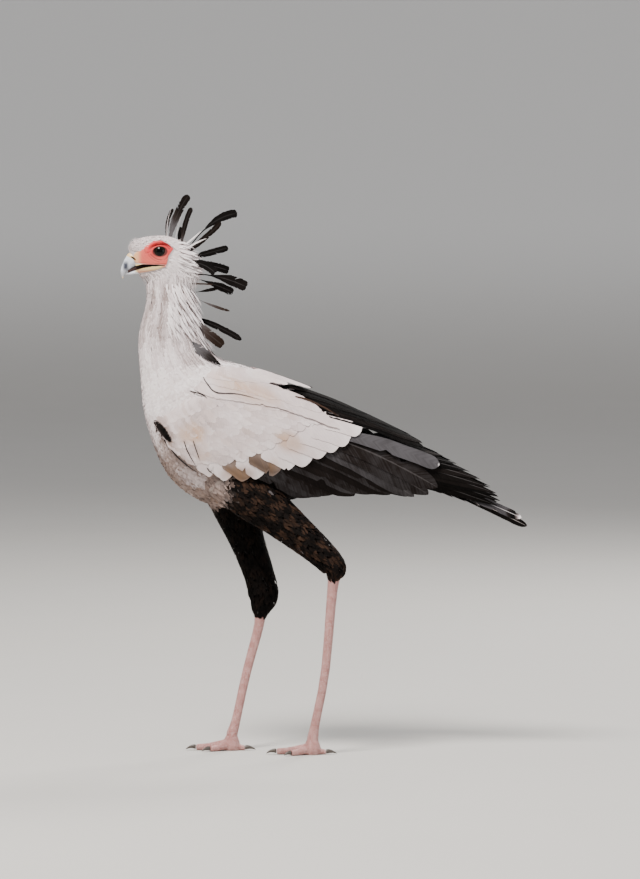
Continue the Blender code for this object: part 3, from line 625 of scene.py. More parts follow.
def onto_wing(side, point, lift):
    """Moves points in or out until they lie this high above the hugged form."""
    a, b = body_chart(point)
    width, height, middle = mantle_size(a)
    angle = np.arctan2((b - middle) / (height + lift), side * point[..., 1] / (width + lift))
    return wing_point(side, a, angle, lift)


def arm(side):
    """The folded arm and hand under the coverts."""
    rings = []
    for a in np.linspace(CORE_A[0], CORE_A[-1], 24):
        low, lift, depth = (spline(a, CORE_A, v) for v in (CORE_LOW, CORE_LIFT, CORE_DEPTH))
        last = CORE_TOP if a > CORE_A[2] else CORE_FRONT_TOP
        angles = np.linspace(float(wing_angle(a, low)), last, 16)
        outer = [wing_point(side, a, w, lift - ARM_DEPTH) for w in angles]
        inner = [wing_point(side, a, w, lift - depth) for w in angles[::-1]]
        rings.append(np.array(outer + inner))
    return loft("arm", rings)


def tail_root():
    rings = []
    for a, half, thick in TAIL_BLOCK:
        centre = body_point(a, TAIL_BLOCK_B, 0)
        rings.append(oval(centre, body_direction(thick, 0), (0, half, 0), 20))
    return loft("tail root", rings)


def lid(side):
    """Rim of skin round the eye."""
    rings = []
    for turn in np.linspace(0, 2 * math.pi, 48, endpoint=False):
        out = np.array([math.cos(turn), 0, math.sin(turn)])
        centre = np.array([EYE_CENTRE[0], side * LID_REACH, EYE_CENTRE[2]])
        centre = centre + out * (LID_LENGTH, 0, LID_HEIGHT)
        rings.append(oval(centre, out * LID_THICKNESS, (0, side * LID_DEPTH, 0), 12))
    return loft("lid", rings, closed_path=True)


def brow(side):
    """Bony ridge of skin over the eye."""
    path = curve(np.array(BROW_LINE) * (1, side, 1), BROW_STEPS)
    radii = curve(BROW_RADII, BROW_STEPS)
    rings = []
    for centre, way, radius in zip(path, unit(np.gradient(path, axis=0)), radii):
        up = unit(np.cross(way, (0, side, 0)))
        rings.append(oval(centre, up * radius, (0, side * radius, 0), 12))
    return loft("brow", rings)


def mouth_wedge():
    """The gap of the open mouth, right across the head."""
    rings = []
    for x, low, high in curve(MOUTH_KEYS, MOUTH_STEPS):
        low_edge = [(x, -MOUTH_REACH, low), (x, MOUTH_REACH, low)]
        high_edge = [(x, MOUTH_REACH, high), (x, -MOUTH_REACH, high)]
        rings.append(np.array(low_edge + high_edge))
    return loft("mouth", rings)


def tongue():
    """Tongue and palate, which fill the middle of the open bill."""
    rings = []
    for x, low, high in curve(MOUTH_KEYS, MOUTH_STEPS)[BEHIND_TIP:]:
        up = (0, 0, (high - low) / 2 + TONGUE_GRIP)
        rings.append(oval((x, 0, (low + high) / 2), up, (0, TONGUE_WIDTH, 0), 16))
    return loft("tongue", rings)


def fuse(name, pieces, voxel, rounds):
    """Joins closed pieces, remeshes them to one surface and smooths it."""
    select_only(*pieces)
    bpy.ops.object.join()
    made = pieces[0]
    made.name = name
    modify(made, "REMESH", mode="VOXEL", voxel_size=voxel * MM)
    modify(made, "SMOOTH", factor=0.5, iterations=rounds)
    return made


def copy_of(node, inset=0.0):
    """A merged copy of a solid, drawn in along its normals."""
    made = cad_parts[node].copy()
    made.data = made.data.copy()
    made.name = "copy of " + node
    made.parent = None
    bpy.context.scene.collection.objects.link(made)
    outward(made)
    if inset:
        modify(made, "DISPLACE", strength=-inset * MM, mid_level=0)
    return made


def coords(obj, kind="co"):
    """The mesh's points in millimetres, or their normals."""
    source = obj.data.vertices if kind == "co" else obj.data.vertex_normals
    flat = np.empty(len(obj.data.vertices) * 3)
    source.foreach_get("co" if kind == "co" else "vector", flat)
    return flat.reshape(-1, 3) / (MM if kind == "co" else 1)


def mark(obj, name, values):
    """Stores one number a point, which the material reads by this name."""
    layer = obj.data.attributes.new(name, "FLOAT", "POINT")
    layer.data.foreach_set("value", np.asarray(values, np.float32).ravel())


def line_distance(x, z, line, closed=False):
    """Distance in the side view to a line through corners."""
    corners = np.array(line, float)
    ends = np.roll(corners, -1, axis=0) if closed else corners[1:]
    nearest = np.full(np.shape(x), 1e9)
    for (x0, z0), (x1, z1) in zip(corners, ends):
        length = (x1 - x0) ** 2 + (z1 - z0) ** 2
        share = np.clip(((x - x0) * (x1 - x0) + (z - z0) * (z1 - z0)) / length, 0, 1)
        beside = np.hypot(x - x0 - share * (x1 - x0), z - z0 - share * (z1 - z0))
        nearest = np.minimum(nearest, beside)
    return nearest


def inside_outline(x, z, outline):
    """Distance to a closed outline in the side view, negative outside it."""
    corners = np.array(outline, float)
    inside = np.zeros(np.shape(x), bool)
    for (x0, z0), (x1, z1) in zip(corners, np.roll(corners, -1, axis=0)):
        crosses = (z0 > z) != (z1 > z)
        slope = (x1 - x0) / (z1 - z0 if z1 != z0 else 1e-9)
        inside ^= crosses & (x < x0 + (z - z0) * slope)
    distance = line_distance(x, z, outline, closed=True)
    return np.where(inside, distance, -distance)


def bare_share(points, outline):
    """1 on the bare skin within an outline and 0 on the feathered head."""
    return smooth((inside_outline(points[..., 0], points[..., 2], outline) + 1.0) / 2.0)


def head_skin():
    places = np.linspace(0, len(HEAD_KEYS) - 1, 100)
    full = outline_rings(HEAD_KEYS, places, 96, HEAD_SQUARENESS)
    drawn = outline_rings(HEAD_KEYS, places, 96, HEAD_SQUARENESS, CROWN_DEPTH)
    share = np.maximum(bare_share(full, FACE), bare_share(full, LIPS))[..., None]
    pieces = [loft("head skin", full * share + drawn * (1 - share))]
    for side in (LEFT, RIGHT):
        pieces += [lid(side), brow(side)]
    made = fuse("head skin", pieces, HEAD_VOXEL, HEAD_ROUNDS)
    for side in (LEFT, RIGHT):
        combine(made, "DIFFERENCE", eyeball("cutter", side, EYE_ROOM))
        combine(made, "DIFFERENCE", nostril_cutter(side))
    combine(made, "DIFFERENCE", mouth_wedge())
    for keys in (UPPER_BILL_KEYS, LOWER_BILL_KEYS):
        combine(made, "DIFFERENCE", bill_half("cutter", keys, BILL_ROOM))
    combine(made, "UNION", tongue())
    return made


def whole_skin():
    places = np.linspace(TRUNK_START, TRUNK_END, 120)
    rings = outline_rings(TRUNK_KEYS, places, 64, TRUNK_SQUARENESS, COAT_DEPTH)
    pieces = [loft("body skin", rings), arm(LEFT), arm(RIGHT), tail_root()]
    pieces += [copy_of("thigh_left", COAT_DEPTH), copy_of("thigh_right", COAT_DEPTH)]
    made = fuse("skin", pieces, BODY_VOXEL, BODY_ROUNDS)
    feet = [copy_of(n) for n in ("shank_left", "foot_left", "shank_right", "foot_right")]
    for piece in (head_skin(), fuse("leg skin", feet, LEG_VOXEL, LEG_ROUNDS)):
        combine(made, "UNION", piece)
    return made


skin = whole_skin()
points = coords(skin)
x, y, z = points.T
face, lips = bare_share(points, FACE), bare_share(points, LIPS)
eye_ring = np.hypot((x - EYE_CENTRE[0]) / LID_LENGTH, (z - EYE_CENTRE[2]) / LID_HEIGHT)
eye_turn = np.arctan2(z - EYE_CENTRE[2], x - EYE_CENTRE[0])
# The creases are cut into the face, and the skin in them is also painted dark red as shade
crease = np.zeros(len(points))
height = np.zeros(len(points))
on_side = smooth((np.abs(y) - 8) / 6)
for line, width, depth in CREASES:
    near = np.exp(-(line_distance(x, z, curve(line, 24)) / width) ** 2) * on_side
    crease = np.maximum(crease, near * min(depth, 1))
    height -= near * depth
wrinkle = np.sin(eye_ring * 15 + 1.8 * np.sin(eye_turn * 2 + 0.7) + 0.6 * np.sin(eye_turn * 7))
height += WRINKLE_DEPTH * wrinkle * face * smooth((eye_ring - 1.2) / 0.2) * on_side
foot_reach = np.min([np.hypot(x - at[0], y - at[1]) for at in FOOT_PLACES], axis=0)
toe_top = smooth((z - 5) / 4) * smooth((34 - z) / 8) * smooth((foot_reach - 14) / 6)
height += toe_top * (TOE_RIDGE * np.abs(np.sin(foot_reach * math.pi / TOE_SCALE)) - 0.2)
mouth_low, mouth_high = (np.interp(x, *np.array(MOUTH_KEYS)[:, [0, k]].T) for k in (1, 2))
# Painted shade: the lips along the gape, the nostril slits and the open mouth's gap with the tongue
# are painted near black
gap_shade = smooth(1.4 - np.abs(z - mouth_low) / 0.5) + smooth(1.4 - np.abs(z - mouth_high) / 0.5)
gap_shade = np.clip(gap_shade, 0, 1) * (x < -292.5)
slit_x, slit_z = x - NOSTRIL[0], z - NOSTRIL[1]
slit_along = slit_x * math.cos(NOSTRIL_SLOPE) + slit_z * math.sin(NOSTRIL_SLOPE)
slit_across = slit_z * math.cos(NOSTRIL_SLOPE) - slit_x * math.sin(NOSTRIL_SLOPE)
in_slit = np.hypot(slit_along / NOSTRIL_LENGTH, slit_across / NOSTRIL_HEIGHT) < 0.58
in_gap = (z > mouth_low - 1) & (z < mouth_high + 1) & (np.abs(y) < TONGUE_WIDTH + 0.4)
gap_shade = np.maximum(gap_shade, in_slit | (in_gap & (x < -294)))
points = points + coords(skin, "normal") * height[:, None]
points[:, 2] = np.maximum(points[:, 2], 0)
skin.data.vertices.foreach_set("co", (points * MM).ravel())
skin.data.update()
body_a, _ = body_chart(points)
belly = smooth((x - np.interp(z, *BELLY_EDGE) + 14) / 12) * smooth((530 - z) / 16)
leg = np.maximum(smooth((352 - z) / 8) * (x > -60), smooth((268 - z) / 8))
mark(skin, "face", face)
mark(skin, "lips", lips * (1 - face) * smooth((-289 - x) / 3))
mark(skin, "mouth", gap_shade)
mark(skin, "leg", leg)
mark(skin, "crease", crease * face)
mark(skin, "lid", smooth((1.09 - eye_ring) / 0.10) * (np.abs(y) > 14))
mark(skin, "flush", smooth((z - 908) / 26) * smooth((x + 336) / 16))
mark(skin, "cere", smooth((-334 - x) / 13))
mark(skin, "dark", np.maximum(belly, smooth((body_a - 120) / 40)) * (z < 640))
# Painted shade: the skin turns darker brown towards the underside, where it shows between the
# feathers
mark(skin, "under", smooth((620 - z) / 110))
skin_material, wire = new_material("skin")
place = wire.place()
blotch, pores = wire.noise(place, 90, 3.0), wire.noise(place, 500, 5.0, 0.7)
red = wire.mix(wire.attribute("flush"), (0.66, 0.115, 0.085), (0.62, 0.028, 0.035)).under(
    (blotch.step(0.45, 0.75) * 0.5, (0.70, 0.12, 0.09)),
    (wire.attribute("cere"), (0.80, 0.44, 0.22)),
    (wire.attribute("crease") * 0.85, (0.16, 0.012, 0.012)),
    (wire.attribute("lid") * 0.92, (0.045, 0.014, 0.012)),
)
horny = wire.mix(wire.axis("Z").step(890, 897), (0.62, 0.30, 0.20), (0.80, 0.60, 0.28)).under(
    (wire.axis("X").step(-304, -292), (0.74, 0.22, 0.14)),
)
scale_place = wire.node("ShaderNodeMapping", {"Vector": place, "Scale": (1, 1, 1.5)})
scales = wire.node("ShaderNodeTexVoronoi", {"Vector": scale_place, "Scale": 300},
                   output="Distance", feature="DISTANCE_TO_EDGE")
shank = wire.mix(blotch.step(0.3, 0.7), (0.37, 0.125, 0.112), (0.54, 0.25, 0.225)).under(
    (pores.step(0.52, 0.72) * 0.5, (0.24, 0.085, 0.07)),
    (scales.step(0.22, 0.05) * 0.6, (0.60, 0.42, 0.39)),
)
colour = wire.mix(blotch, (0.56, 0.50, 0.50), (0.50, 0.44, 0.44)).under(
    (wire.attribute("under"), (0.27, 0.215, 0.19)),
    (wire.attribute("dark"), (0.012, 0.010, 0.009)),
    (wire.attribute("leg"), shank),
    (wire.attribute("lips"), horny),
    (wire.attribute("face"), red),
    (wire.attribute("mouth"), (0.035, 0.012, 0.010)),
)
relief = scales.step(0.0, 0.2) * wire.attribute("leg") + pores * 0.4
surface(colour, 0.5, wire.bump(relief, 0.0006), Specular_IOR_Level=0.35)
wear(skin, skin_material)
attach(skin, "root")
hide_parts("head", "neck", "torso", "wing_left", "wing_right", "tail", "thigh_left",
            "thigh_right", "shank_left", "shank_right", "foot_left", "foot_right")

# Claws: short blunt dark horn, one at the end of each toe.
claw_material, wire = new_material("claw")
grain = wire.noise(wire.place(), 500, 3.0)
surface(wire.mix(grain, (0.035, 0.028, 0.024), (0.11, 0.09, 0.075)), 0.38,
        wire.bump(grain, 0.0003))
for side_name in ("left", "right"):
    for toe in ("hind", "inner", "middle", "outer"):
        node = "claw_" + side_name + "_" + toe
        claw = copy_of(node)
        claw.name = "horn_" + node
        modify(claw, "SUBSURF", levels=2, render_levels=2)
        wear(claw, claw_material)
        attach(claw, "root")
        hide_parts(node)

# Head and neck feathers: every feather is a thin closed vane on a shaft, with ragged barbs that
# slant to its tip, joined tract by tract. They are tiny round the face, streaky under fine silk
# down the neck, and loose in a ruff at the nape.
rng = np.random.default_rng(11)
BAKE_PATCH, BAKE_MARGIN = 0.003, 0.02
PIECE_LIMIT = 190000  # triangles
SHADE, PALE, WHITE = (0.32, 0.25, 0.235), (0.67, 0.575, 0.575), (0.92, 0.85, 0.85)
BUFF = (0.52, 0.31, 0.18)
BLACK, CHARCOAL, SLATE = (0.0022, 0.0018, 0.0016), (0.013, 0.0095, 0.0085), (0.085, 0.080, 0.085)
RUST = (0.056, 0.030, 0.019)
# Places of the columns across a vane, as shares of its half width
THREE, FIVE = (-1, 0, 1), (-1, -0.5, 0, 0.5, 1)
VANE_THICKNESS, VANE_CAMBER, VANE_RISE, UNEVEN = 0.15, 0.03, 0.5, 0.04
LOOSE_RAGGED, LOOSE_SPLITS, LOOSE_SLANT = 0.3, 0.05, 0.9
# Share of a shaft that is tucked into the coat, and how much vanes bow round the body
TUCKED, BOW = 0.35, 1.3
# Rows over which one lock of feathers changes to the next
LOCK_ROWS = 16
# Share of the spacing that each root keeps clear, and roots tried for each one that would fit
ROOM, TRIES = 0.8, 3.4
# Where round ends begin, as a share of the length, over what reach, and how bluntly
ROUND_ENDS = {"round": (0.7, 0.31, 2.2), "blunt": (0.86, 0.145, 2.2), "strap": (0.76, 0.25, 2),
              "club": (0.80, 0.21, 2)}
feather_material, wire = new_material("feather")
across, tone, dark = (wire.attribute(n) for n in ("across", "tone", "dark"))
off_shaft = wire.maths("ABSOLUTE", across)
barb_place = {0: wire.attribute("barb"), 1: across * 0.4, 2: tone * 40}
barb_place = wire.node("ShaderNodeCombineXYZ", barb_place)
fine, broad = wire.noise(barb_place, 1.3, 2.0, 0.6), wire.noise(barb_place, 0.22, 2.0)
drift = wire.noise(wire.place(), 24, 3.0, 0.55)
tint = wire.attribute("tint") + (tone - 0.5) * 0.18 + (drift - 0.5) * 0.45 + (broad - 0.5) * 0.4
night = tint.ramp((0.0, BLACK), (0.5, CHARCOAL), (1.0, SLATE))
colour = tint.ramp((0.0, SHADE), (0.5, PALE), (1.0, WHITE)).under(
    (wire.attribute("warm") * (0.3 + 1.4 * broad), BUFF),
    (dark, night.under((wire.attribute("rust"), RUST))),
    (off_shaft.step(0.10, 0.03) * wire.attribute("quill"), WHITE),
    (fine * 0.15, (0.0, 0.0, 0.0)),
)
surface(colour, 0.8, wire.bump(fine, 0.0004, 0.4), Specular_IOR_Level=0.05)


def outline_of(kind, t):
    """Share of the full half width at each share t of a feather's length."""
    if kind == "soft":
        shape = np.minimum(0.45 + 1.6 * t, 1)
        return shape * np.clip(1 - np.clip((t - 0.5) / 0.5, 0, 1) ** 2.6, 0, 1) ** 0.6
    if kind == "long":
        return np.minimum(0.4 + 2.2 * t, 1) * (1 - np.clip((t - 0.55) / 0.46, 0, 1) ** 2.1)
    if kind == "lance":
        return np.clip(np.sin(math.pi * np.clip(t * 0.9 + 0.1, 0, 1) ** 0.8), 0.02, 1) ** 0.8
    if kind == "hair":
        return 1 - 0.75 * t
    shape = {"round": np.minimum(0.35 + 2.6 * t, 1), "blunt": np.minimum(0.4 + 1.2 * t, 1),
             "strap": 0.40 + 0.60 * smooth(t / 0.4),
             "club": smooth((t - 0.34) / 0.34) * 0.87 + 0.13}[kind]
    start, reach, power = ROUND_ENDS[kind]
    return shape * np.sqrt(np.clip(1 - smooth((t - start) / reach) ** power, 0, 1))


def stations(count, crowding):
    """Shares of a shaft's length, closer together towards the tip."""
    return 1 - (1 - np.linspace(0, 1, count)) ** crowding


def column_reach(widths, columns):
    """How far each column lies from the shaft, left negative, at every section."""
    columns = np.asarray(columns, float)
    return columns * np.where(columns < 0, widths[:, :, :1], widths[:, :, 1:])


def edge_widths(kind, half, t, ragged, splits):
    """Half widths left and right of each shaft, with ragged barbs and a few splits."""
    widths = np.repeat((half[:, None] * outline_of(kind, t))[:, :, None], 2, axis=2)
    widths *= 1 + ragged * rng.uniform(-1, 0.6, widths.shape)
    split = rng.random(widths.shape) < splits
    widths *= np.where(split, rng.uniform(0.4, 0.8, split.shape), 1)
    widths[:, -1] = np.minimum(widths[:, -1], 0.3)
    return widths


def spread(shaft, normal, widths, columns, slant, camber, bow=0.0):
    """Grid of points over each vane: left edge to right edge at every section of the shaft."""
    way = unit(np.gradient(shaft, axis=1))
    out = unit(np.cross(way, normal))
    sideways = column_reach(widths, columns)
    forward = np.abs(sideways) * slant
    drop = camber * np.abs(sideways * np.array(columns)) + bow * sideways**2
    return (
        shaft[:, :, None]
        + out[:, :, None] * sideways[..., None]
        + way[:, :, None] * forward[..., None]
        - normal[:, :, None] * drop[..., None]
    )


def vane_faces(sections, size):
    """Faces of one closed vane: quads along it, triangles over both ends, and which quads are
    on its upper side. size counts the columns and the line along the underside."""
    a = np.arange(sections - 1)[:, None] * size + np.arange(size)
    b = np.arange(sections - 1)[:, None] * size + (np.arange(size) + 1) % size
    quads = np.stack([a, b, b + size, a + size], axis=-1).reshape(-1, 4)
    last, under = (sections - 1) * size, size - 1
    caps = [(k + 1, k, under) for k in range(size - 2)]
    caps += [(last + k, last + k + 1, last + under) for k in range(size - 2)]
    return quads, np.array(caps), np.tile(np.arange(size) < size - 2, sections - 1)


def vane_mesh(name, ring, uv):
    """One mesh of many closed vanes, smooth on their upper side and sharp round the edges."""
    count, sections, size = ring.shape[:3]
    quads, caps, upper = vane_faces(sections, size)
    offsets = np.arange(count)[:, None, None] * sections * size
    faces4, faces3 = (offsets + quads).reshape(-1), (offsets + caps).reshape(-1)
    corners = np.concatenate([faces4, faces3])
    starts = np.append(np.arange(0, len(faces4), 4), np.arange(len(faces4), len(corners), 3))
    is_smooth = np.append(np.tile(upper, count), np.zeros(len(faces3) // 3, bool))
    mesh = bpy.data.meshes.new(name)
    mesh.vertices.add(count * sections * size)
    mesh.vertices.foreach_set("co", (ring * MM).ravel())
    mesh.loops.add(len(corners))
    mesh.loops.foreach_set("vertex_index", corners)
    mesh.polygons.add(len(starts))
    mesh.polygons.foreach_set("loop_start", starts)
    mesh.update(calc_edges=True)
    mesh.polygons.foreach_set("use_smooth", is_smooth)
    edges = np.zeros(len(corners), np.int32)
    mesh.loops.foreach_get("edge_index", edges)
    face_sizes = np.diff(np.append(starts, len(corners)))
    border = np.zeros(len(mesh.edges), bool)
    border[edges[~np.repeat(is_smooth, face_sizes)]] = True
    mesh.edges.foreach_set("use_edge_sharp", border)
    bake = mesh.uv_layers.new(name="OFBake")
    bake.data.foreach_set("uv", uv.reshape(-1, 2)[corners].ravel())
    mesh.materials.append(feather_material)
    return mesh


def plumage(name, grid, normal, columns, t, widths, thickness, chart, slot, **marks):
    """Closed vanes from grids shaped (feathers, sections, columns, 3), in pieces of one tract."""
    count, sections, across_count = grid.shape[:3]
    middle, size = across_count // 2, across_count + 1
    thick = thickness * (1 - 0.8 * np.asarray(t))[:, None]
    ring = np.concatenate([grid, (grid[:, :, middle] - normal * thick)[:, :, None]], axis=2)
    columns = np.append(np.asarray(columns, float), 0.0)
    half = widths.mean(2)[..., None]
    lengths = np.linalg.norm(np.diff(grid[:, :, middle], axis=1), axis=-1).sum(1)
    shape = (count, sections, size)
    along = np.broadcast_to(np.asarray(t)[None, :, None], shape)
    across = np.broadcast_to(columns, shape)
    barb = along * lengths[:, None, None] - np.abs(across) * half
    marks = {"tone": rng.random(count), "tint": 0.5, "dark": 0, "warm": 0, "quill": 0, "rust": 0,
             **marks, "across": across, "barb": barb}
    uv = chart[:, None, None] + np.stack([across * 0.5, along - 0.5], axis=-1) * BAKE_PATCH
    triangles = count * ((sections - 1) * size * 2 + (size - 2) * 2)
    parts = math.ceil(triangles / PIECE_LIMIT)
    for part in range(parts):
        chosen = np.arange(part, count, parts)
        mesh = vane_mesh(name, ring[chosen], uv[chosen])
        made = put(name if parts == 1 else name + "_" + str(part + 1), mesh)
        for key, value in marks.items():
            value = np.asarray(value, float)
            while value.ndim < 3:
                value = value[..., None]
            mark(made, key, np.broadcast_to(value, shape)[chosen])
        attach(made, "root")


class Hide:
    """A round surface that feathers lie on. Rows follow one another down the body or the limb,
    columns go round it, and locks holds a slow change over both, which makes feathers cling."""

    def __init__(self, rings):
        self.grid = np.asarray(rings)
        self.rows, self.columns = self.grid.shape[:2]
        closed = np.concatenate([self.grid[:, -1:], self.grid, self.grid[:, :1]], axis=1)
        self.down = np.gradient(self.grid, axis=0)
        self.around = (closed[:, 2:] - closed[:, :-2]) / 2
        normal = unit(np.cross(self.around, self.down))
        middle = self.grid.mean(axis=1, keepdims=True)
        self.normal = normal * np.sign(((self.grid - middle) * normal).sum(-1).mean())
        self.girth = np.linalg.norm(self.around, axis=-1).sum(axis=1)
        coarse = rng.random((self.rows // LOCK_ROWS + 2, self.columns))
        at, share = np.divmod(np.arange(self.rows)[:, None] / LOCK_ROWS, 1)
        at = at[:, 0].astype(int)
        self.locks = (coarse[at] * (1 - share) + coarse[at + 1] * share)[..., None]

    def read(self, table, row, column):
        """Values of a table between its rows and columns."""
        row = np.clip(row, 0, self.rows - 1.001)
        r, c = np.floor(row).astype(int), np.floor(column).astype(int)
        u, v = (row - r)[..., None], (column - c)[..., None]
        c0, c1 = c % self.columns, (c + 1) % self.columns
        upper = table[r, c0] * (1 - v) + table[r, c1] * v
        lower = table[r + 1, c0] * (1 - v) + table[r + 1, c1] * v
        return upper * (1 - u) + lower * u

    def scatter(self, spacing, wanted):
        """Roots spread evenly, about spacing apart, where wanted."""
        area = np.linalg.norm(np.cross(self.down, self.around), axis=-1)
        area *= wanted(self.grid.reshape(-1, 3)).reshape(area.shape)
        tries = int(area.sum() / spacing**2 * TRIES)
        cell = rng.choice(area.size, tries, p=(area / area.sum()).ravel())
        row = cell // self.columns + rng.random(tries)
        column = cell % self.columns + rng.random(tries)
        points = self.read(self.grid, row, column)
        good = wanted(points) & (row < self.rows - 1.5)
        row, column, points = row[good], column[good], points[good]
        kept, taken = [], {}
        reach = (ROOM * spacing) ** 2
        for i, (px, py, pz) in enumerate(points.tolist()):
            home = (int(px // spacing), int(py // spacing), int(pz // spacing))
            near = (q for dx in (-1, 0, 1) for dy in (-1, 0, 1) for dz in (-1, 0, 1)
                    for q in taken.get((home[0] + dx, home[1] + dy, home[2] + dz), ()))
            if all((qx - px) ** 2 + (qy - py) ** 2 + (qz - pz) ** 2 > reach for qx, qy, qz in near):
                kept.append(i)
                taken.setdefault(home, []).append((px, py, pz))
        return row[kept], column[kept]

    def lay(self, row, column, length, lifts, t, sway):
        """Shafts that run down the surface from their roots, lifted off it along the way."""
        shafts, normals = [], []
        steps = np.diff(t, prepend=0.0)
        for k, step in enumerate(steps):
            way = self.read(self.down, row, column)
            rate = np.linalg.norm(way, axis=-1)
            pace = np.linalg.norm(self.read(self.around, row, column), axis=-1)
            row = row + length * step * np.cos(sway) / rate
            column = column + length * step * np.sin(sway) / np.maximum(pace, 0.2)
            beyond = np.maximum(row - (self.rows - 1.001), 0) * rate
            normal = unit(self.read(self.normal, row, column))
            point = self.read(self.grid, row, column) + unit(way) * beyond[:, None]
            shafts.append(point + normal * lifts[:, k, None])
            normals.append(normal)
        return np.stack(shafts, axis=1), np.stack(normals, axis=1)

    def chart(self, row, column):
        """Place of a root on the unwrapped surface, inside the bake's square."""
        across, down = column / self.columns % 1.0, row / self.rows
        return BAKE_MARGIN + (1 - 2 * BAKE_MARGIN) * np.stack([across, down], axis=-1)


def tract(name, hide, spacing, wanted, kind, length, half, slot, colours, depth=COAT_DEPTH,
          stand=0.0, sway=0.12, sections=7, slant=0.5, ragged=0.16, columns=THREE, splits=0.03,
          turn=0.0, streaky=0.0, ridge=0.0):
    """A tract of body feathers. length, half, stand and turn may be functions of the roots.
    streaky and ridge are how much paler and higher the feathers are that cling in a lock."""
    row, column = hide.scatter(spacing, wanted)
    roots = hide.read(hide.grid, row, column)
    count = len(row)
    long, wide, proud, turned = ((v(roots) if callable(v) else v) * np.ones(count)
                                 for v in (length, half, stand, turn))
    t = stations(sections, 1.25)
    lifts = -(depth + 1 - VANE_RISE) * (1 - smooth(t / TUCKED)) - VANE_RISE * (1 - t)
    lifts = lifts + rng.uniform(-UNEVEN, UNEVEN, count)[:, None]
    lifts = lifts + (proud * rng.uniform(0.3, 1.3, count))[:, None] * t**2
    lock = hide.read(hide.locks, row, column)[:, 0] - 0.5
    lifts = lifts + ridge * lock[:, None] * smooth(t / TUCKED)
    shaft, normal = hide.lay(row, column, long * rng.uniform(0.8, 1.2, count), lifts, t,
                             turned + rng.normal(0, sway, count))
    widths = edge_widths(kind, wide * rng.uniform(0.85, 1.15, count), t, ragged, splits)
    bow = BOW * math.pi / hide.girth[row.astype(int)][:, None, None]
    grid = spread(shaft, normal, widths, columns, slant, VANE_CAMBER, bow)
    marks = colours(roots)
    marks["tint"] = np.clip(marks["tint"] + streaky * lock, 0, 1)
    plumage(name, grid, normal, columns, t, widths, VANE_THICKNESS, hide.chart(row, column), slot,
            **marks)


def hang(name, hide, spacing, wanted, kind, length, half, slot, colours, depth, out, pull,
         sections=9, sway=0.15):
    """Loose feathers that leave the surface and droop. pull is the direction that they bend to."""
    row, column = hide.scatter(spacing, wanted)
    roots = hide.read(hide.grid, row, column)
    normal = unit(hide.read(hide.normal, row, column))
    tangent = unit(hide.read(hide.down, row, column))
    count = len(row)
    t = np.linspace(0, 1, sections)[:, None]
    aside = np.cross(normal, tangent) * rng.normal(0, sway, (count, 1))
    way = (tangent + aside + normal * out)[:, None] * (1 - t) + np.array(pull) * t
    long = length * rng.uniform(0.75, 1.25, (count, 1, 1))
    shaft = (roots - normal * (depth + 1))[:, None] + np.cumsum(unit(way), axis=1) * long / sections
    facing = unit(np.cross(np.cross(unit(way), normal[:, None]), unit(way)))
    wide = half * rng.uniform(0.7, 1.3, count)
    widths = edge_widths(kind, wide, t[:, 0], LOOSE_RAGGED, LOOSE_SPLITS)
    grid = spread(shaft, facing, widths, THREE, LOOSE_SLANT, VANE_CAMBER)
    plumage(name, grid, facing, THREE, t[:, 0], widths, VANE_THICKNESS, hide.chart(row, column),
            slot, **colours(roots))


places = np.linspace(0, len(HEAD_KEYS) - 1, 90)
head_hide = Hide(outline_rings(HEAD_KEYS, places, 72, HEAD_SQUARENESS))
places = np.linspace(TRUNK_START, TRUNK_END + 0.05, 150)
trunk_hide = Hide(outline_rings(TRUNK_KEYS, places, 72, TRUNK_SQUARENESS))


def zone(points, x=(-1e4, 1e4), z=(-1e4, 1e4), off=(-1, 1e4)):
    """Which points lie between these limits; off is the distance from the midline."""
    kept = (points[:, 0] > x[0]) & (points[:, 0] < x[1])
    kept &= (points[:, 2] > z[0]) & (points[:, 2] < z[1])
    return kept & (np.abs(points[:, 1]) > off[0]) & (np.abs(points[:, 1]) < off[1])


def varied(points, mean, spread_by, least=0.0):
    """A share for each point, scattered about the mean."""
    return np.clip(rng.normal(mean, spread_by, len(points)), least, 1)


def head_feathered(points):
    x, y, z = points.T
    bare = np.maximum(inside_outline(x, z, FACE), inside_outline(x, z, LIPS)) > -0.3
    bill = (x < -343) & (z < 928)
    return ~(bare & (np.abs(y) > 3)) & ~bill


def head_length(points):
    x, _, z = points.T
    return 6.0 + 9 * smooth((x + 330) / 70) + 6 * smooth((885 - z) / 12)


def head_half(points):
    return 1.1 + 0.8 * smooth((points[:, 0] + 330) / 70)


def head_turn(points):
    """Feathers of the lower cheek and the throat turn down towards the neck."""
    _, y, z = points.T
    return -np.sign(y) * smooth((np.abs(y) - 3) / 9) * 1.1 * smooth((912 - z) / 30)


def head_colours(points):
    cheek = smooth((935 - points[:, 2]) / 20) * smooth((points[:, 0] + 300) / 20)
    # The chin is painted darker: shade under the head and bill
    chin = smooth((893 - points[:, 2]) / 16) * smooth((-298 - points[:, 0]) / 14)
    tint = rng.normal(0.66, 0.08, len(points)) + 0.26 * cheek - 0.34 * chin
    return {"tint": np.clip(tint, 0, 1), "warm": varied(points, 0.03, 0.04)}


def white_colours(points):
    return {"tint": varied(points, 0.9, 0.1)}


def neck_colours(points):
    """Silky white over lilac shade, with painted shadow where the ruff overhangs the nape and
    painted shade high on the throat under the head.
    """
    shadow = smooth((points[:, 0] + 285) / 40) * smooth((850 - points[:, 2]) / 40)
    shadow = shadow * smooth((points[:, 2] - 730) / 30)
    # Painted shade under the head, darker up the throat
    throat = smooth((points[:, 2] - 745) / 60)
    tint = rng.normal(0.66, 0.08, len(points)) - 0.25 * shadow - 0.36 * throat
    return {"tint": np.clip(tint, 0, 1)}


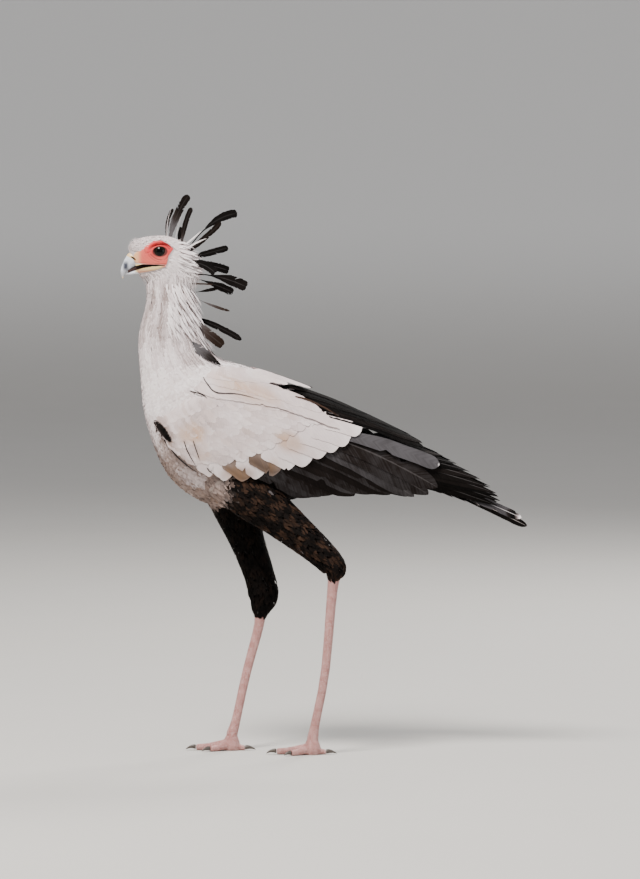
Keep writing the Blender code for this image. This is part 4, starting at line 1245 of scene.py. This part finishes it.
def silk_colours(points):
    bright = rng.random(len(points)) < 0.5
    return {"tint": np.where(bright, 1.0, varied(points, 0.42, 0.14))}


def at_cheek(points):
    return zone(points, x=(-330, 0), z=(0, 900)) & head_feathered(points)


def at_chin(points):
    return zone(points, x=(-400, -308), z=(0, 884)) & head_feathered(points)


def at_forehead(points):
    return zone(points, x=(-400, -339), z=(926, 949))


def at_nape(points):
    return zone(points, x=(-290, 0), z=(798, 884))


def at_hindneck(points):
    return zone(points, x=(-268, 0), z=(770, 872), off=(-1, 17))


tract("head_feathers", head_hide, 2.1, head_feathered, "lance", head_length, head_half, "head",
      head_colours, CROWN_DEPTH, stand=0.1, sections=5, ragged=0.25, turn=head_turn)
hang("forehead_fringe", head_hide, 1.9, at_forehead, "hair", 7.5, 0.4, "head", white_colours,
     CROWN_DEPTH, 1.1, (-0.6, 0, 0.7), sections=5, sway=0.5)
hang("cheek_wisps", head_hide, 2.6, at_cheek, "hair", 27, 0.7, "head", white_colours,
     CROWN_DEPTH, 0.5, (0.1, 0, -1.6), sway=0.2)
hang("chin_wisps", head_hide, 2.2, at_chin, "hair", 27, 0.7, "head", white_colours,
     CROWN_DEPTH, 0.35, (0.6, 0, -1.2), sway=0.3)
hang("hindcrown_tufts", head_hide, 4.4, lambda p: zone(p, x=(-276, 0), z=(888, 999)), "lance",
     26, 1.7, "head", white_colours, CROWN_DEPTH, 0.55, (1.2, 0, -0.5), sway=0.3)
tract("neck_plumes", trunk_hide, 4.8, lambda p: p[:, 2] > 716, "soft",
      lambda p: 26 + 12 * smooth((880 - p[:, 2]) / 60), 3.6, "neck", neck_colours,
      sections=8, slant=0.8, ragged=0.2, columns=FIVE, streaky=0.7, ridge=2.0)
tract("neck_silk", trunk_hide, 3.7, lambda p: p[:, 2] > 740, "hair",
      lambda p: 22 + 18 * smooth((870 - p[:, 2]) / 60), 0.7, "neck", silk_colours,
      stand=lambda p: 0.3 + 1.6 * smooth((p[:, 0] + 290) / 40), streaky=1.2, ridge=2.4)
hang("ruff", trunk_hide, 5.5, at_nape, "lance", 46, 2.2, "neck", white_colours, COAT_DEPTH,
     0.75, (0.5, 0, -0.9), sections=12, sway=0.14)
hang("hindneck_locks", trunk_hide, 6.0, at_hindneck, "lance", 46, 3.0, "neck", white_colours,
     COAT_DEPTH, 1.0, (0.5, 0, -1.0), sections=12, sway=0.2)

# Body feathers: soft round ones lie flat over the breast and shoulders under a veil of fine loose
# barbs, pale above and grey brown on the belly, where painted shade darkens them too, and turn
# black over the vent and rump. A dark spot lies where the breast meets the wing, and pale wisps
# hang over the flank.
# Tinted places in the side view: x, z, reach along, reach across, slope in degrees, amount
WARM_PLACES = [
    (-150, 675, 62, 17, -25, 0.5),
    (-112, 668, 36, 13, -30, 0.45),
    (-242, 594, 24, 20, 0, 0.55),
    (-222, 560, 14, 20, 0, 0.25),
    (-62, 579, 30, 17, -25, 0.45),
    (-92, 537, 10, 12, 0, 0.3),
    (-158, 520, 30, 15, 0, 0.35),
    (-200, 490, 22, 22, 0, 0.35),
]
SHADE_PLACES = [
    (-158, 520, 30, 15, 0, 0.55),
    (-262, 684, 36, 9, 25, 0.35),
    (-232, 622, 50, 26, 40, 0.2),
    (-196, 486, 40, 22, 0, 0.55),
    (-62, 579, 30, 17, -25, 0.25),
    (-290, 600, 10, 44, 25, 0.35),
    (-250, 520, 60, 18, -55, 0.25),
]
DARK_PLACES = [(-296, 598, 25, 7, -52, 1.0)]
# A pale band below the wing, where most of the belly's painted shade and warmth is taken off
LIGHT_PLACES = [(-252, 523, 40, 15, -38, 0.85)]
# Darker at the belly's bottom: its own grey brown, and painted shade
GRIME_AND_SHADE_PLACES = [(-222, 480, 44, 13, 5, 1.0)]
# Where the shadow under the wing's front edge lies on the breast, in the side view
WING_SHADOW = [(-313, 618), (-300, 592), (-280, 570), (-256, 551), (-229, 533), (-190, 524)]
# What the wing covers of the body's chart, behind its front: a and lower b, then a and upper b
WING_FRONT, WING_OFF = -44, 24
WING_LOW = ((-80, -40, 0, 60, 150, 260, 400), (10, -24, -38, -38, -26, 4, 52))
WING_TOP = ((-80, -40, 40, 120, 400), (20, 48, 70, 70, 56))


def tinted(points, places):
    """How far each point is tinted by soft oval places in the side view."""
    total = np.zeros(points.shape[:-1])
    for x, z, long, wide, slope, amount in places:
        c, s = math.cos(math.radians(slope)), math.sin(math.radians(slope))
        dx, dz = points[..., 0] - x, points[..., 2] - z
        reach = np.hypot((dx * c + dz * s) / long, (dz * c - dx * s) / wide)
        total = np.maximum(total, amount * smooth(1.4 - reach))
    return total


def body_feathered(points, top):
    """Where the body shows below this height and beside the wings."""
    a, b = body_chart(points)
    inside = (b > spline(a, *WING_LOW)) & (b < spline(a, *WING_TOP))
    under_wing = (a > WING_FRONT) & inside & (np.abs(points[:, 1]) > WING_OFF)
    return (points[:, 2] <= top) & ~under_wing


def before_belly_edge(points):
    """How far each point lies before the line where the vent and the thighs turn black."""
    return np.interp(points[:, 2], *BELLY_EDGE) - points[:, 0]


def body_colours(points):
    """White above, darker and warmer towards the belly with painted shade and its own grey brown,
    and black behind the vent's edge.
    """
    count = len(points)
    x, _, z = points.T
    a, _ = body_chart(points)
    edge = rng.normal(0, 5, count)
    ahead = before_belly_edge(points)
    vent = (ahead < 12 + edge) & (z < 545)
    dark = np.maximum(vent * smooth(1 - (ahead - edge) / 12), a - 130 + edge > 0)
    dark = np.maximum(dark, 0.2 * smooth((655 - z) / 90) * rng.uniform(0.6, 1.4, count))
    # Painted shade, and the belly's own grey brown: darker and warmer towards the belly
    under = smooth((650 - z) / 130)
    shade = under + 0.5 * smooth(1 - ahead / 40) * smooth((545 - z) / 20)
    shade = shade * rng.uniform(0.75, 1.25, count)
    shade = shade + 0.5 * smooth((6 - line_distance(x, z, WING_SHADOW)) / 5)
    lit, grime_and_shade = tinted(points, LIGHT_PLACES), tinted(points, GRIME_AND_SHADE_PLACES)
    dark = np.maximum(dark, grime_and_shade * (0.45 + 0.02 * edge))
    tint = rng.normal(0.90, 0.05, count) - (tinted(points, SHADE_PLACES) + shade) * (1 - 0.8 * lit)
    warm = rng.normal(0.02, 0.03, count) + tinted(points, WARM_PLACES) + 0.17 * under * (1 - lit)
    return {"dark": np.clip(dark, 0, 1), "tint": np.clip(np.where(dark > 0.5, 0.1, tint), 0, 1),
            "warm": np.clip(warm, 0, 1)}


def at_flank(points):
    ahead = before_belly_edge(points)
    return (ahead > 0) & (ahead < 26) & zone(points, z=(0, 545), off=(15, 999))


def at_dark_spot(points):
    return tinted(points + np.array([4, 0, -12]), DARK_PLACES) > 0.3


def spot_colours(points):
    return {"dark": 1.0, "tint": varied(points, 0.35, 0.2), "rust": 0.2}


def wisp_colours(points):
    return {"tint": varied(points, 0.5, 0.18, least=0.1), "warm": 0.08}


tract("body_feathers", trunk_hide, 7.2, lambda p: body_feathered(p, 730), "soft", 36, 7.6,
      "torso", body_colours, sections=8, ragged=0.2, splits=0.04, columns=FIVE, slant=0.7,
      streaky=0.3, ridge=0.9)
tract("body_veil", trunk_hide, 4.4, lambda p: body_feathered(p, 735), "hair", 17, 0.5, "torso",
      body_colours, stand=0.2, sections=5, sway=0.2)
hang("belly_fluff", trunk_hide, 5.0, lambda p: zone(p, x=(-999, -170), z=(0, 500)), "lance", 20,
     1.3, "torso", body_colours, COAT_DEPTH, 0.3, (1.0, 0, -0.7), sections=6, sway=0.3)
tract("breast_spot", trunk_hide, 2.8, at_dark_spot, "lance", 17, 2.4, "torso", spot_colours,
      stand=3.5)
hang("flank_wisps", trunk_hide, 3.6, at_flank, "hair", 26, 0.7, "torso", wisp_colours,
     COAT_DEPTH, 0.35, (1.0, 0, -0.35), sections=7, sway=0.3)

# Wings: the flight feathers, black with a brown sheen, lie under tiers of pale lilac grey coverts
# with whitish round tips. Scapulars cover the shoulder, and black tertials lie along the back.
# Each tier: name, number of feathers, half width, height above the form that the wing hugs,
# outline, tilt and tint, the lines of its roots and its tips as a and b, and what is its own
WING_TIERS = [
    ("primaries", 9, 13, 0.0, "long", 0.11, 0.1,
     [(196, 8), (216, 44)], [(569, 40), (566, 52), (556, 63), (530, 74), (490, 84), (446, 90)],
     {"dark": 1, "quill": 0.06}),
    ("secondaries", 14, 19, 3.4, "round", 0.09, 0.55,
     [(96, -36), (146, 2), (190, 54)],
     [(240, -58), (286, -38), (330, -20), (372, -4), (412, 3), (456, 34)],
     {"dark": 1, "quill": 0.04}),
    ("grey_tertial", 1, 16, 6.8, "blunt", 0.09, 0.78,
     [(212, 58), (212, 58)], [(446, 76), (446, 76)], {"dark": 1, "rim": 0.984}),
    ("tertials", 9, 13, 7.8, "round", 0.07, 0.1,
     [(150, 84), (130, 100), (104, 110)],
     [(404, 88), (398, 97), (352, 100), (310, 104), (262, 108)], {"dark": 1}),
    ("greater_coverts", 11, 22, 8.8, "round", 0.045, 0.74,
     [(10, -58), (74, -26), (130, 22), (184, 74)],
     [(58, -68), (112, -60), (156, -36), (192, -8), (232, 22), (262, 52), (284, 82)],
     {"tip": 0.28, "stained": 1, "loose": 3.0}),
    ("median_coverts", 20, 13, 9.6, "soft", 0.025, 0.64,
     [(-26, -52), (30, -18), (80, 26), (132, 78)], [(22, -68), (86, -42), (140, 0), (212, 74)],
     {"ragged": 0.15}),
    ("lesser_coverts_1", 24, 11, 10.0, "soft", 0.015, 0.6,
     [(-38, -50), (14, -22), (64, 18), (112, 74)], [(6, -66), (64, -40), (120, 2), (184, 72)],
     {"ragged": 0.18}),
    ("lesser_coverts_2", 26, 10, 10.3, "soft", 0.015, 0.58,
     [(-50, -44), (0, -20), (46, 16), (92, 72)], [(-10, -62), (42, -38), (96, 2), (156, 70)],
     {"ragged": 0.2}),
    ("lesser_coverts_3", 26, 9.5, 10.6, "soft", 0.015, 0.6,
     [(-60, -36), (-14, -14), (30, 18), (72, 70)], [(-26, -56), (22, -33), (72, 4), (128, 66)],
     {"ragged": 0.22}),
    ("lesser_coverts_4", 26, 9, 10.9, "soft", 0.015, 0.62,
     [(-68, -28), (-28, -6), (12, 22), (52, 68)], [(-40, -50), (4, -26), (50, 6), (104, 64)],
     {"ragged": 0.24}),
    ("lesser_coverts_5", 26, 8.5, 11.2, "soft", 0.015, 0.65,
     [(-74, -18), (-42, 4), (-6, 26), (32, 66)], [(-54, -42), (-16, -18), (26, 9), (80, 62)],
     {"ragged": 0.25}),
    ("marginal_coverts", 26, 8, 11.6, "soft", 0.015, 0.7,
     [(-79, -6), (-60, 16), (-26, 40), (10, 66)], [(-62, -34), (-36, -8), (0, 20), (52, 60)],
     {"ragged": 0.25}),
    ("scapulars_1", 11, 13, 12.7, "long", 0.03, 0.66,
     [(-52, 53), (10, 68), (110, 84)], [(14, 54), (76, 60), (150, 71), (244, 72)],
     {"loose": 2.0, "ragged": 0.08}),
    ("scapulars_2", 12, 12, 13.2, "soft", 0.008, 0.68,
     [(-52, 66), (16, 82), (96, 92)], [(10, 72), (80, 80), (140, 84), (206, 84)],
     {"loose": 3.0, "ragged": 0.15}),
    ("scapulars_3", 13, 13, 13.6, "soft", 0.008, 0.72,
     [(-50, 76), (10, 96), (64, 108)], [(14, 84), (66, 94), (112, 105), (172, 120)],
     {"loose": 3.0, "ragged": 0.15}),
]
WING_SECTIONS = 22
WING_COLUMNS = (-1, -0.7, -0.35, 0, 0.35, 0.7, 1)
TIP_HUG = 0.12
FLIGHT_THICKNESS, COVERT_THICKNESS = 0.5, 0.2
# The part of the wing's chart that the roots lie in: lowest a and b, then its length and height
ROOT_CHART = ((-90, -70), (320, 190))
# Ends of the two near greater coverts that are stained brown: x and z
STAINS = [(-131, 504), (-83, 523)]
# Painted shadows: thin dark vanes along the creases between the coverts of both wings, where shade
# falls: x and z along each, half width, lift, rust
PARTING_SHADOWS = [
    ([(-226, 690), (-218, 679), (-200, 664), (-161, 660), (-112, 647)], 1.3, 14.2, 0.1),
    ([(-57, 652), (-30, 644), (0, 630), (26, 615)], 2.4, 14.4, 0.75),
    ([(-257, 669), (-226, 661), (-216, 655)], 1.1, 13.4, 0.1),
    ([(-278, 570), (-265, 556), (-241, 537), (-228, 529)], 1.8, 12.4, 0.1),
    ([(-256, 585), (-248, 566), (-230, 537)], 1.1, 12.4, 0.1),
    ([(-239, 585), (-230, 561), (-227, 553)], 0.9, 12.4, 0.1),
    ([(-213, 538), (-207, 531), (-200, 526)], 1.3, 12.4, 0.1),
]


def fold(side, shaft, lift):
    """Lays points, given by a and b, on the folded wing, with the way out from it."""
    a, b = shaft
    angle = wing_angle(a, b)
    points = wing_point(side, a, angle, lift)
    return points, unit(wing_point(side, a, angle, lift + 1) - points)


def with_underside(upper, lower):
    """Adds the column of the underside, which takes the first column of lower."""
    return np.append(upper, lower[:, :, :1], axis=2)


def wing_tier(side, side_name, tier):
    """One row of vanes that hug the folded wing, spread evenly between its lines."""
    name, count, half, lift, kind, tilt, base_tint, roots, tips, more = tier
    dark = more.get("dark", 0)
    slips = rng.normal(0, 0.5, (2, count, 2)) * more.get("loose", 4.0)
    root, tip = (curve(line, count) + slip for line, slip in zip((roots, tips), slips))
    t = stations(WING_SECTIONS, 1.35)
    a, b = (root[:, k, None] + (tip[:, k] - root[:, k])[:, None] * t for k in (0, 1))
    b = b + 0.03 * np.linalg.norm(tip - root, axis=1)[:, None] * np.sin(math.pi * t)
    root_lift = spline(root[:, 0], CORE_A, CORE_LIFT)[:, None] - 3
    tuck = rng.uniform(-0.05, 0.05, count)[:, None]
    lifts = root_lift + (lift + tuck - root_lift) * smooth(t / 0.25)
    lifts = lifts - (0 if dark else TIP_HUG) * smooth((t - 0.75) / 0.25)
    shaft, normal = fold(side, (a, b), lifts)
    widths = edge_widths(kind, half * rng.uniform(0.88, 1.12, count), t,
                         more.get("ragged", 0.03), 0.03)
    flat = spread(shaft, normal, widths, WING_COLUMNS, 0.35, 0.0)
    reach = column_reach(widths, WING_COLUMNS)
    grid = onto_wing(side, flat, lifts[:, :, None] - side * tilt * reach)
    tint = base_tint + rng.normal(0, 0.07, count)[:, None, None] + 0 * reach
    marks = {"quill": more.get("quill", 0)}
    spot = 0 * tint
    if not dark:
        paler = more.get("tip", 0.14) * smooth((t - 0.7) / 0.3)[None, :, None]
        ends = grid[:, -1:, 3:4, ::2]
        far = [np.linalg.norm(ends - place, axis=-1) for place in STAINS]
        stained = np.any([one == one.min() for one in far], axis=0)
        stained = stained * more.get("stained", 0) * (side == LEFT)
        warm = tinted(grid, WARM_PLACES) * rng.uniform(0.4, 1.3, count)[:, None, None]
        stained = stained * rng.uniform(0.55, 1.1, (count, 1, len(WING_COLUMNS)))
        warm = warm + 0.05 + 0.12 * rng.random(count)[:, None, None] ** 2 + 0.4 * stained
        marks["warm"] = with_underside(np.clip(warm, 0, 1), warm)
        tint = tint - 0.13 + paler - tinted(grid, SHADE_PLACES) - 0.5 * stained
        spot = smooth((tinted(grid, DARK_PLACES) - 0.25) / 0.2) + 0.74 * stained
    rim = smooth((t - more.get("rim", 2)) / 0.012)[None, :, None] + 0 * tint
    marks["tint"] = with_underside(np.clip(np.maximum(tint, rim), 0, 1), tint)
    black = dark * (1 - rim) + spot
    marks["dark"] = with_underside(black, black)
    low, size = (np.array(v) for v in ROOT_CHART)
    chart = 0.05 + 0.9 * (root - low) / size
    plumage(name + "_" + side_name, grid, normal, WING_COLUMNS, t, widths,
            FLIGHT_THICKNESS if dark else COVERT_THICKNESS, chart, "wing", **marks)


def wing_parting_shadows(side, side_name):
    """Thin dark vanes laid along the creases between coverts, as painted shadow."""
    t = np.linspace(0, 1, WING_SECTIONS)
    lines = np.array([curve(line, WING_SECTIONS) for line, _, _, _ in PARTING_SHADOWS])
    lift = np.array([row[2] for row in PARTING_SHADOWS])[:, None]
    shaft, normal = fold(side, body_chart(lines), lift)
    widths = edge_widths("lance", np.array([row[1] for row in PARTING_SHADOWS]), t, 0.3, 0.0)
    grid = spread(shaft, normal, widths, THREE, 0.3, 0.0)
    chart = np.stack([0.1 + 0.1 * np.arange(len(PARTING_SHADOWS)), np.full(len(PARTING_SHADOWS), 0.97)], axis=-1)
    plumage("partings_" + side_name, grid, normal, THREE, t, widths, COVERT_THICKNESS, chart,
            "wing", dark=1.0, tint=0.55, rust=np.array([row[3] for row in PARTING_SHADOWS]))


for side, side_name in SIDES:
    for tier in WING_TIERS:
        wing_tier(side, side_name, tier)
    wing_parting_shadows(side, side_name)

# Tail: twelve feathers under the folded wings, the middle pair much the longest. The left one of
# that pair is slate grey with a black band before its white tip, the right one is black to its
# tip, and the others are black with small white tips.
TAIL_ROOT_A, TAIL_ROOT_B, TAIL_ROOT_OUT, TAIL_FAN = 396, 42, 4.5, 0.25
# Tip a and b, half width, distance out from the midline, roll in degrees
TAIL_PAIRS = [
    (636, 22, 11, 5, 44),
    (540, 31, 10, 4, 12),
    (515, 33, 10, 5, 12),
    (490, 35, 10, 6, 12),
    (466, 37, 10, 7, 12),
    (445, 39, 10, 8, 12),
]
TAIL_LAYER, TAIL_ARCH = 2.6, 5
# How far the tip of the middle pair's left feather lies along and over that of the right one
LEFT_CENTRAL_EXTRA = (-16, 12.8)
TAIL_SECTIONS = 30
WHITE_FROM, WHITE_FADE = 0.955, 0.012


def free_feathers(name, rows, slot, sections, columns, slant, camber, ragged, splits, thickness):
    """Vanes on their own curved shafts. A row: root, bend, tip, facing, half, outline, marks."""
    t = stations(sections, 1.2)
    u = t[:, None]
    shafts, normals, widths = [], [], []
    for root, bend, tip, facing, half, kind, _ in rows:
        shaft = (1 - u) ** 2 * root + 2 * u * (1 - u) * bend + u**2 * tip
        way = unit(np.gradient(shaft, axis=0))
        out = unit(np.cross(way, facing))
        shafts.append(shaft)
        normals.append(unit(np.cross(out, way)))
        widths.append(edge_widths(kind, np.array([half]), t, ragged, splits)[0])
    shafts, normals, widths = np.array(shafts), np.array(normals), np.array(widths)
    grid = spread(shafts, normals, widths, columns, slant, camber)
    marks = {}
    for key in rows[0][6]:
        along = [row[6][key](t) if callable(row[6][key]) else row[6][key] + 0 * t for row in rows]
        marks[key] = np.array(along)
    chart = np.stack([np.linspace(0.05, 0.95, len(rows)), np.full(len(rows), 0.5)], axis=-1)
    plumage(name, grid, normals, columns, t, widths, thickness, chart, slot, **marks)


def tail_tint(grey, white_from, t):
    """Slate grey or black, then a blacker band, then white from the given share of the length."""
    base = 0.85 if grey else 0.2
    band = smooth((t - white_from + 0.09) / 0.03)
    return np.maximum(base * (1 - band) + 0.05 * band, smooth((t - white_from) / WHITE_FADE))


tail_rows = []
for number, (a, b, half, out, roll) in enumerate(TAIL_PAIRS):
    for side in (LEFT, RIGHT):
        central = number == 0
        grey = central and side == LEFT
        longer, higher = LEFT_CENTRAL_EXTRA if grey else (0, 0)
        layer = -TAIL_LAYER * (number + (0.5 if side == LEFT else 0))
        root = body_point(TAIL_ROOT_A, TAIL_ROOT_B + layer, side * (TAIL_ROOT_OUT + out * TAIL_FAN))
        tip = body_point(a + longer, b + higher + layer, side * out)
        bend = (root + tip) / 2 + body_direction(TAIL_ARCH, 0)
        turn = math.radians(roll)
        facing = body_direction(math.cos(turn), side * math.sin(turn))
        white_from = WHITE_FROM if grey or not central else 2.0
        marks = {"tint": lambda t, g=grey, w=white_from: tail_tint(g, w, t),
                 "dark": lambda t, w=white_from: 1 - smooth((t - w) / WHITE_FADE),
                 "quill": 0.5 if central else 0.25}
        kind = "blunt" if central else "long"
        tail_rows.append((root, bend, tip, facing, half, kind, marks))
free_feathers("tail_feathers", tail_rows, "tail", TAIL_SECTIONS, WING_COLUMNS, 0.5, 0.1, 0.04,
              0.04, 0.8)

# Crest: long black plumes that stand loose from the back of the head and the nape, some straps
# all along and some clubs on a bare stem, with greyer bases and ragged blunt tips. Four small ones
# are white.
# Root, bend and tip x and z, half width, y at root and tip, outline, grey base's share, rust
CREST_PLUMES = [
    ((-285, 946), (-279, 990), (-250, 1031), 7.2, -3, -8, "strap", 0.7, 0.05),
    ((-291, 948), (-293, 984), (-279, 1006), 3.6, 5, 11, "strap", 0.8, 0.05),
    ((-263, 938), (-259, 979), (-244, 1008), 5.0, -9, -17, "strap", 0.4, 0.05),
    ((-268, 943), (-268, 958), (-263, 971), 4.2, 9, 15, "strap", 0.4, 0.05),
    ((-257, 922), (-216, 990), (-161, 998), 8.0, 3, 10, "club", 0.0, 0.0),
    ((-257, 921), (-221, 950), (-190, 981), 5.2, -9, -22, "strap", 0.0, 0.1),
    ((-252, 914), (-216, 924), (-178, 934), 6.2, 10, 25, "strap", 0.3, 0.0),
    ((-250, 906), (-224, 911), (-201, 889), 7.8, -11, -28, "strap", 0.0, 0.0),
    ((-250, 902), (-214, 906), (-177, 892), 7.8, 5, 14, "strap", 0.6, 0.0),
    ((-252, 886), (-196, 888), (-144, 863), 9.8, -6, -17, "club", 0.0, 0.0),
    ((-251, 881), (-214, 873), (-169, 852), 7.6, 8, 22, "club", 0.0, 0.0),
    ((-258, 868), (-232, 869), (-205, 867), 1.4, -9, -20, "strap", 0.3, 0.5),
    ((-256, 850), (-226, 853), (-197, 859), 3.2, 9, 24, "club", 0.0, 0.1),
    ((-254, 852), (-220, 830), (-174, 818), 2.6, -5, -12, "club", 1.0, 0.3),
    ((-250, 808), (-200, 794), (-153, 764), 5.8, 7, 15, "strap", 0.1, 0.0),
    ((-252, 805), (-219, 781), (-187, 755), 9.2, -12, -26, "round", 0.8, 0.25),
    ((-260, 764), (-232, 750), (-189, 719), 9.0, -27, -44, "lance", 0.9, 0.0),
    ((-260, 764), (-232, 750), (-189, 719), 9.0, 27, 44, "lance", 0.9, 0.0),
    ((-289, 950), (-292, 985), (-280, 1010), 0.5, -6, -12, "hair", 2.0, 0.0),
    ((-275, 946), (-270, 975), (-262, 995), 0.4, -6, -12, "hair", 2.0, 0.0),
    ((-262, 936), (-240, 952), (-226, 966), 1.6, -12, -20, "lance", 2.0, 0.0),
    ((-258, 930), (-238, 944), (-216, 952), 1.6, -12, -22, "lance", 2.0, 0.0),
]
CREST_SECTIONS = 60


def crest_marks(grey, brown):
    """White when grey is over 1, or else slate from the base up to that share of the length."""
    if grey > 1:
        return {"dark": 0.0, "rust": 0.0, "tint": 1.0, "quill": 0.0}
    return {"dark": lambda t: 1 - 0.02 * smooth((grey - t) / 0.3), "rust": brown,
            "tint": lambda t: 0.12 + 0.75 * smooth((grey - t) / 0.5), "quill": 0.03}


crest_rows = []
for number, (root, bend, tip, half, y0, y1, kind, grey, brown) in enumerate(CREST_PLUMES):
    lean = 0.22 * math.sin(2.1 * number)
    ends = ((root[0], y0, root[1]), (bend[0], (y0 + y1) / 2, bend[1]), (tip[0], y1, tip[1]))
    ends = tuple(np.array(p, float) for p in ends)
    facing = np.array([lean, math.copysign(1, y1), 0.3 * lean])
    crest_rows.append((*ends, facing, half, kind, crest_marks(grey, brown)))
free_feathers("crest", crest_rows, "head", CREST_SECTIONS, FIVE, 1.2, 0.02, 0.10, 0.03, 0.4)

# Trousers: short dense feathers from the flank to the hock, velvety black with rusty mottles. The
# far
# leg is painted as in shade: it is blacker, its mottles are faint, and it has none of the near
# leg's painted glints.
# Centre x and z, thickness fore and aft, centre y out from the midline, sideways thickness
LEFT_THIGH_KEYS = [
    (-208, 562, 48, 36, 25),
    (-178, 527, 56, 42, 30),
    (-137, 483, 47, 49, 32),
    (-91, 446, 38, 53, 30),
    (-44, 407, 31, 54, 27),
    (-4, 372, 26, 53, 23),
    (19, 346, 22, 52, 18.5),
    (19, 328, 13, 52, 12),
]
RIGHT_THIGH_KEYS = [
    (-196, 562, 48, 36, 25),
    (-182, 515, 56, 44, 30),
    (-166, 455, 43, 54, 32),
    (-143, 388, 32, 58, 28),
    (-121, 325, 28, 59, 24),
    (-113, 287, 28, 59, 23),
    (-117, 262, 19, 58, 17),
    (-119, 248, 12, 57, 11),
]


def limb_rings(keys, side, positions, count):
    """Rings across a limb's path, with its own thickness fore and aft and sideways."""
    at = spline(positions, np.arange(len(keys)), keys)
    path = np.stack([at[:, 0], side * at[:, 3], at[:, 1]], axis=1)
    rings = []
    for centre, way, row in zip(path, unit(np.gradient(path, axis=0)), at):
        fore = unit(np.cross(way, (0, 1, 0)))
        rings.append(oval(centre, fore * row[2], unit(np.cross(fore, way)) * row[4], count))
    return np.array(rings)


def trouser_colours(points):
    """Black with rusty mottles, pale where the thigh meets the belly, with painted shade on the far
    leg and a few painted glints on the near one.
    """
    count = len(points)
    x, y, z = points.T
    # Painted shade: the far leg is blacker with fainter mottles, and only the near leg gets painted
    # glints
    near = 1.0 * (y < 0)
    mottle = np.sin(x * 0.10 + z * 0.07) * np.sin(z * 0.16 - x * 0.05) + rng.normal(0, 0.5, count)
    glint = near * (rng.random(count) < 0.006)
    ahead = before_belly_edge(points) + rng.normal(0, 4, count)
    pale = smooth((ahead - 3) / 22) * (z > 450)
    tint = 0.08 + 0.2 * near * rng.random(count) + 0.6 * glint
    dusk = rng.uniform(0.45, 0.85, count)
    return {"dark": (1 - 0.05 * glint) * (1 - dusk * pale), "warm": 0.2,
            "rust": np.clip(mottle * 0.6, 0, 0.7) * (0.15 + 0.85 * near),
            "tint": np.where(pale > 0.4, 0.16 * smooth((z - 470) / 40), tint)}


def at_thigh_top(points):
    return zone(points, z=(470, 552)) & (before_belly_edge(points) > -14)


for (side, side_name), keys in zip(SIDES, (LEFT_THIGH_KEYS, RIGHT_THIGH_KEYS)):
    thigh_hide = Hide(limb_rings(keys, side, np.linspace(0, len(keys) - 1, 82), 48))
    tract("thigh_fluff_" + side_name, thigh_hide, 4.2, at_thigh_top, "soft", 28, 3.6, "thigh",
          trouser_colours, stand=1.6, sway=0.25, ragged=0.3)
    tract("trousers_" + side_name, thigh_hide, 4.6, lambda p: p[:, 2] < 540, "lance", 18, 2.7,
          "thigh", trouser_colours, stand=1.0, sway=0.2, sections=6, ragged=0.35, slant=0.9)

boxes = {"cad": cad_box, "visual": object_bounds()}
boxes = {key: [[float(v) for v in corner] for corner in box] for key, box in boxes.items()}
